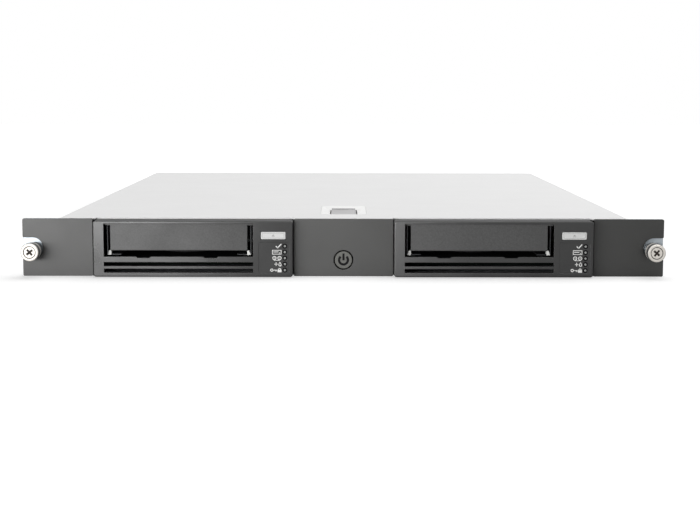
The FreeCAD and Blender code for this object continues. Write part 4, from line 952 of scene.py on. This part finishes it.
def with_rib(pad, low, high, top):
    """The pad's mesh joined to a low rounded rib along its rear edge."""
    section = [(high.y - RIB_SETBACK - RIB_THICK, top - RIB_ROOT), (high.y - RIB_SETBACK, top - RIB_ROOT)]
    for turn in RIB_TURNS:
        section.append((high.y - RIB_SETBACK - RIB_THICK / 2 * (1 - math.cos(turn)),
                        top + RIB_RISE - RIB_THICK / 2 * (1 - math.sin(turn))))
    shape = bmesh.new()
    ends = [[shape.verts.new((x * MM, y * MM, z * MM)) for y, z in section]
            for x in (low.x + RIB_INSET, high.x - RIB_INSET)]
    capped_skin(shape, ends)
    rib = bpy.data.objects.new("latch_rib", outward_mesh("latch_rib", shape))
    base = bpy.data.objects.new("latch_base", pad)
    for part in (rib, base):
        bpy.context.scene.collection.objects.link(part)
    union = base.modifiers.new("union", "BOOLEAN")
    union.operation = "UNION"
    union.object = rib
    mesh = bpy.data.meshes.new_from_object(base.evaluated_get(bpy.context.evaluated_depsgraph_get()))
    for part in (rib, base):
        bpy.data.objects.remove(part)
    mesh.name = "latch_pad"
    return mesh


low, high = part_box("latch_button")
low, high = low / MM, high / MM
pad_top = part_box("top_cover")[1].z / MM - PAD_SINK
pad_mesh = with_rib(cushion_pad("latch_base", low, high, pad_top), low, high, pad_top)
latch_pad = finished_piece("latch_pad", pad_mesh, "latch", looks["latch_grey"])
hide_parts("latch_button")
print("latch pad:", len(pad_mesh.polygons), "faces, top", PAD_SINK, "mm below the cover's")

# %% [markdown]
# Under the button an arched leaf of spring steel pushes it back up. A stiff leaf would cut into the pressed
# button. The leaf is drawn as one bent strip with its feet at the bottom.

# %% Latch leaf spring
LEAF_SHEET = 0.4
LEAF_STEPS = 24


def bent_leaf(name, low, high):
    """Mesh of an arched strip between a box's corners in millimetres, with its feet at the bottom."""
    middle, half, rise = (low.y + high.y) / 2, (high.y - low.y) / 2, high.z - low.z
    shape = bmesh.new()
    rows = []
    for step in range(LEAF_STEPS + 1):
        share = 2 * step / LEAF_STEPS - 1
        row = []
        for x, inset in ((low.x, 0.0), (high.x, 0.0), (high.x, LEAF_SHEET), (low.x, LEAF_SHEET)):
            y = middle + (half - inset) * share
            z = low.z + (rise - inset) * (1 - share * share)
            row.append(shape.verts.new((x * MM, y * MM, z * MM)))
        rows.append(row)
    capped_skin(shape, rows)
    return outward_mesh(name, shape)


low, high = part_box("latch_spring")
leaf_mesh = bent_leaf("latch_leaf", low / MM, high / MM)
latch_leaf = finished_piece("latch_leaf", leaf_mesh, "cover", looks["spring_steel"])
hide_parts("latch_spring")
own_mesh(latch_leaf)

# %% [markdown]
# ## Small screws
# Pan-head screws hold the ears, the fans and the drives. Those of the drives are hidden and stay plain.
# The head is a low dome with a cross recess. A cut with a boolean would do, but a dome laid out as a round
# grid whose points drop where the cross lies gives the recess its own rounded floor at once.

# %% Pan-head screws
HEAD_RADIUS = 2.8
HEAD_HEIGHT = 1.6
HEAD_ROUNDS = 16
HEAD_RAYS = 48
DOME_DROP = 0.75
RECESS_ARM = 1.55
RECESS_HALF = 0.36
RECESS_DEPTH = 0.85
SHANK_RADIUS = 1.5
SHANK_LENGTH = 5.0
SHANK_RINGS = 12
SHANK_GROOVE = 0.18


def in_cross(x, z):
    """Whether a point of the head lies in the driver's cross."""
    x, z = abs(x), abs(z)
    return (x < RECESS_ARM and z < RECESS_HALF) or (z < RECESS_ARM and x < RECESS_HALF)


def screw_grid():
    """Rings of points of one screw that points up: over the head, under it and down the shank."""
    turns = [2 * math.pi * number / HEAD_RAYS for number in range(HEAD_RAYS)]
    grid = []
    for step in range(1, HEAD_ROUNDS + 1):
        radius = HEAD_RADIUS * step / HEAD_ROUNDS
        ring = []
        for turn in turns:
            x, z = radius * math.cos(turn), radius * math.sin(turn)
            top = HEAD_HEIGHT - DOME_DROP * (radius / HEAD_RADIUS) ** 4
            if in_cross(x, z):
                top -= RECESS_DEPTH
            ring.append((x, z, top))
        grid.append(ring)
    profile = [(HEAD_RADIUS, 0.0), (SHANK_RADIUS, 0.0)]
    for step in range(SHANK_RINGS):
        groove = SHANK_GROOVE if step % 2 else 0.0
        profile.append((SHANK_RADIUS - groove, -SHANK_LENGTH * (step + 0.5) / SHANK_RINGS))
    for radius, level in profile:
        grid.append([(radius * math.cos(turn), radius * math.sin(turn), level) for turn in turns])
    return grid


def pan_head(shape, seat, outward, spin):
    """Adds one screw to a shape: its head's seat, the way its head points, and the turn of its cross."""
    turn_to = Vector((0, 0, 1)).rotation_difference(outward).to_matrix() @ Matrix.Rotation(spin, 3, "Z")

    def placed(point):
        return shape.verts.new((seat + turn_to @ Vector(point)) * MM)

    made = [[placed(point) for point in ring] for ring in screw_grid()]
    middle = placed((0, 0, HEAD_HEIGHT - RECESS_DEPTH))
    end = placed((0, 0, -SHANK_LENGTH))
    for number in range(HEAD_RAYS):
        after = (number + 1) % HEAD_RAYS
        shape.faces.new((middle, made[0][number], made[0][after]))
        shape.faces.new((end, made[-1][after], made[-1][number]))
    skin(shape, made)


print("points of one screw:", HEAD_RAYS * len(screw_grid()) + 2)

# %% [markdown]
# A set of screws is one piece and stands for the group of plain screws at the same places. Each cross is
# turned a little further than the last, because nobody tightens screws to the same angle.

# %% Ear and fan screws
SCREW_SPIN = 0.9
EAR_SCREW_X = 215.7
EAR_SCREW_Y = (-279.25, -259.0)
EAR_SCREW_Z = 17.0
FAN_X = 95
FAN_Z = 21.6
FAN_HOLE = 16
REAR_WALL = 300.0
BOTH_WAYS = (-1, 1)


def screw_set(name, stands_for, places, outward_of):
    """One piece with a pan-head screw at each place, standing for a CAD group."""
    shape = bmesh.new()
    for number, place in enumerate(places):
        pan_head(shape, Vector(place), outward_of(place), SCREW_SPIN * number)
    mesh = outward_mesh(name, shape)
    piece = finished_piece(name, mesh, "chassis", looks["screw_steel"])
    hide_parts(stands_for)
    print(name, "has", len(places), "screws and", len(mesh.polygons), "faces")


ear_places = [(sign * EAR_SCREW_X, y, EAR_SCREW_Z) for sign in BOTH_WAYS for y in EAR_SCREW_Y]
screw_set("ear_screw_heads", "ear_screws", ear_places,
          lambda place: Vector((math.copysign(1, place[0]), 0, 0)))
fan_places = [(sign * FAN_X + i * FAN_HOLE, REAR_WALL, FAN_Z + j * FAN_HOLE)
              for sign in BOTH_WAYS for i in BOTH_WAYS for j in BOTH_WAYS]
screw_set("fan_screw_heads", "fan_screws", fan_places, lambda place: Vector((0, 1, 0)))

# %% [markdown]
# ## Studio
# The photograph is a cut-out on white. A pale floor under a white surround gives that, and keeps a soft
# shadow where the enclosure stands. The floor is only lifted to white for the camera, more so far away from
# the enclosure, so it throws no extra light on the object.

# %% Floor
REACH = 4.0
FLOOR_GREY = 0.6
FLOOR_ROUGHNESS = 0.9
LIFT_FROM = (0.5, 1.6)
LIFT_TO = (0.5, 1.0)
floor_mesh = bpy.data.meshes.new("studio_floor")
floor_mesh.from_pydata([(-REACH, -REACH, 0), (REACH, -REACH, 0), (REACH, REACH, 0), (-REACH, REACH, 0)], [],
                       [(0, 1, 2, 3)])
floor = bpy.data.objects.new("studio_floor", floor_mesh)
bpy.context.scene.collection.objects.link(floor)
pale = bpy.data.materials.new("studio_floor")
pale.use_nodes = True
pale_tree = pale.node_tree
pale_shader = fed(pale_tree, pale_tree.nodes["Principled BSDF"], Roughness=FLOOR_ROUGHNESS,
                  Base_Color=(FLOOR_GREY, FLOOR_GREY, FLOOR_GREY, 1), Specular_IOR_Level=0.0)
seen = pale_tree.nodes.new("ShaderNodeLightPath")
spot = pale_tree.nodes.new("ShaderNodeTexCoord")
far_off = vector_math(pale_tree, "LENGTH", spot.outputs["Object"])
lift = remap(pale_tree, far_off.outputs["Value"], *LIFT_TO, *LIFT_FROM)
brightness = arithmetic(pale_tree, "MULTIPLY", lift, seen.outputs["Is Camera Ray"])
glow = new_node(pale_tree, "ShaderNodeEmission", Strength=brightness)
summed = pale_tree.nodes.new("ShaderNodeAddShader")
pale_tree.links.new(pale_shader.outputs["BSDF"], summed.inputs[0])
pale_tree.links.new(glow.outputs["Emission"], summed.inputs[1])
fed(pale_tree, pale_tree.nodes["Material Output"], Surface=summed.outputs["Shader"])
floor_mesh.materials.append(pale)
print("floor of", 2 * REACH, "m")

# %% [markdown]
# The surround is a low, even light. Where the camera sees it, or a glossy or clear surface mirrors it, it is
# plain white.

# %% Surround
AMBIENT = 0.22
WHITE = (1, 1, 1, 1)
world = bpy.data.worlds.new("white_surround")
bpy.context.scene.world = world
world.use_nodes = True
sky = world.node_tree
ambient = fed(sky, sky.nodes["Background"], Color=WHITE, Strength=AMBIENT)
white = new_node(sky, "ShaderNodeBackground", Color=WHITE)
path = sky.nodes.new("ShaderNodeLightPath")
seen_direct = arithmetic(sky, "MAXIMUM", path.outputs["Is Camera Ray"], path.outputs["Is Glossy Ray"])
seen_any = arithmetic(sky, "MAXIMUM", seen_direct, path.outputs["Is Transmission Ray"])
choice = new_node(sky, "ShaderNodeMixShader", Fac=seen_any)
sky.links.new(ambient.outputs["Background"], choice.inputs[1])
sky.links.new(white.outputs["Background"], choice.inputs[2])
fed(sky, sky.nodes["World Output"], Surface=choice.outputs["Shader"])
print("surround gives", AMBIENT, "of white")

# %% [markdown]
# One broad light hangs overhead. A softbox at the front left shades the dark front from left to right.

# %% Lights


def softbox(name, place, target, width, height, power):
    """Rectangular lamp that faces a point."""
    lamp = bpy.data.lights.new(name, "AREA")
    lamp.shape = "RECTANGLE"
    lamp.size = width
    lamp.size_y = height
    lamp.energy = power
    thing = bpy.data.objects.new(name, lamp)
    thing.location = place
    thing.rotation_euler = (Vector(target) - Vector(place)).to_track_quat("-Z", "Y").to_euler()
    bpy.context.scene.collection.objects.link(thing)


softbox("overhead_softbox", place=(0.45, 0.3, 2.0), target=(0.0, 0.0, 0.0), width=2.4, height=2.4, power=41.0)
softbox("front_left_softbox", place=(-0.69, -1.3, 0.12), target=(-0.2, -0.31, 0.03), width=1.1, height=0.2,
        power=12.0)
print("lights:", [lamp.name for lamp in bpy.data.lights])

# %% [markdown]
# ## Camera
# The enclosure stands square to the camera, a little below it. The focal length and distance follow from how
# much the cover narrows from its front edge to its rear edge.

# %% Camera
SENSOR = 36.0
FOCAL_LENGTH = 77.425
EYE = (-0.0001, -1.4273, 0.1433)
TILT_DOWN, ROLL, PAN = 0.11552, -0.0020, -0.00422
camera = bpy.data.cameras.new("front_camera")
camera.sensor_width = SENSOR
camera.lens = FOCAL_LENGTH
viewer = bpy.data.objects.new("front_camera", camera)
viewer.location = EYE
viewer.rotation_euler = (math.pi / 2 - TILT_DOWN, ROLL, PAN)
bpy.context.scene.collection.objects.link(viewer)
bpy.context.scene.camera = viewer
bpy.context.scene.view_settings.view_transform = "Standard"
print("camera", FOCAL_LENGTH, "mm at", EYE)
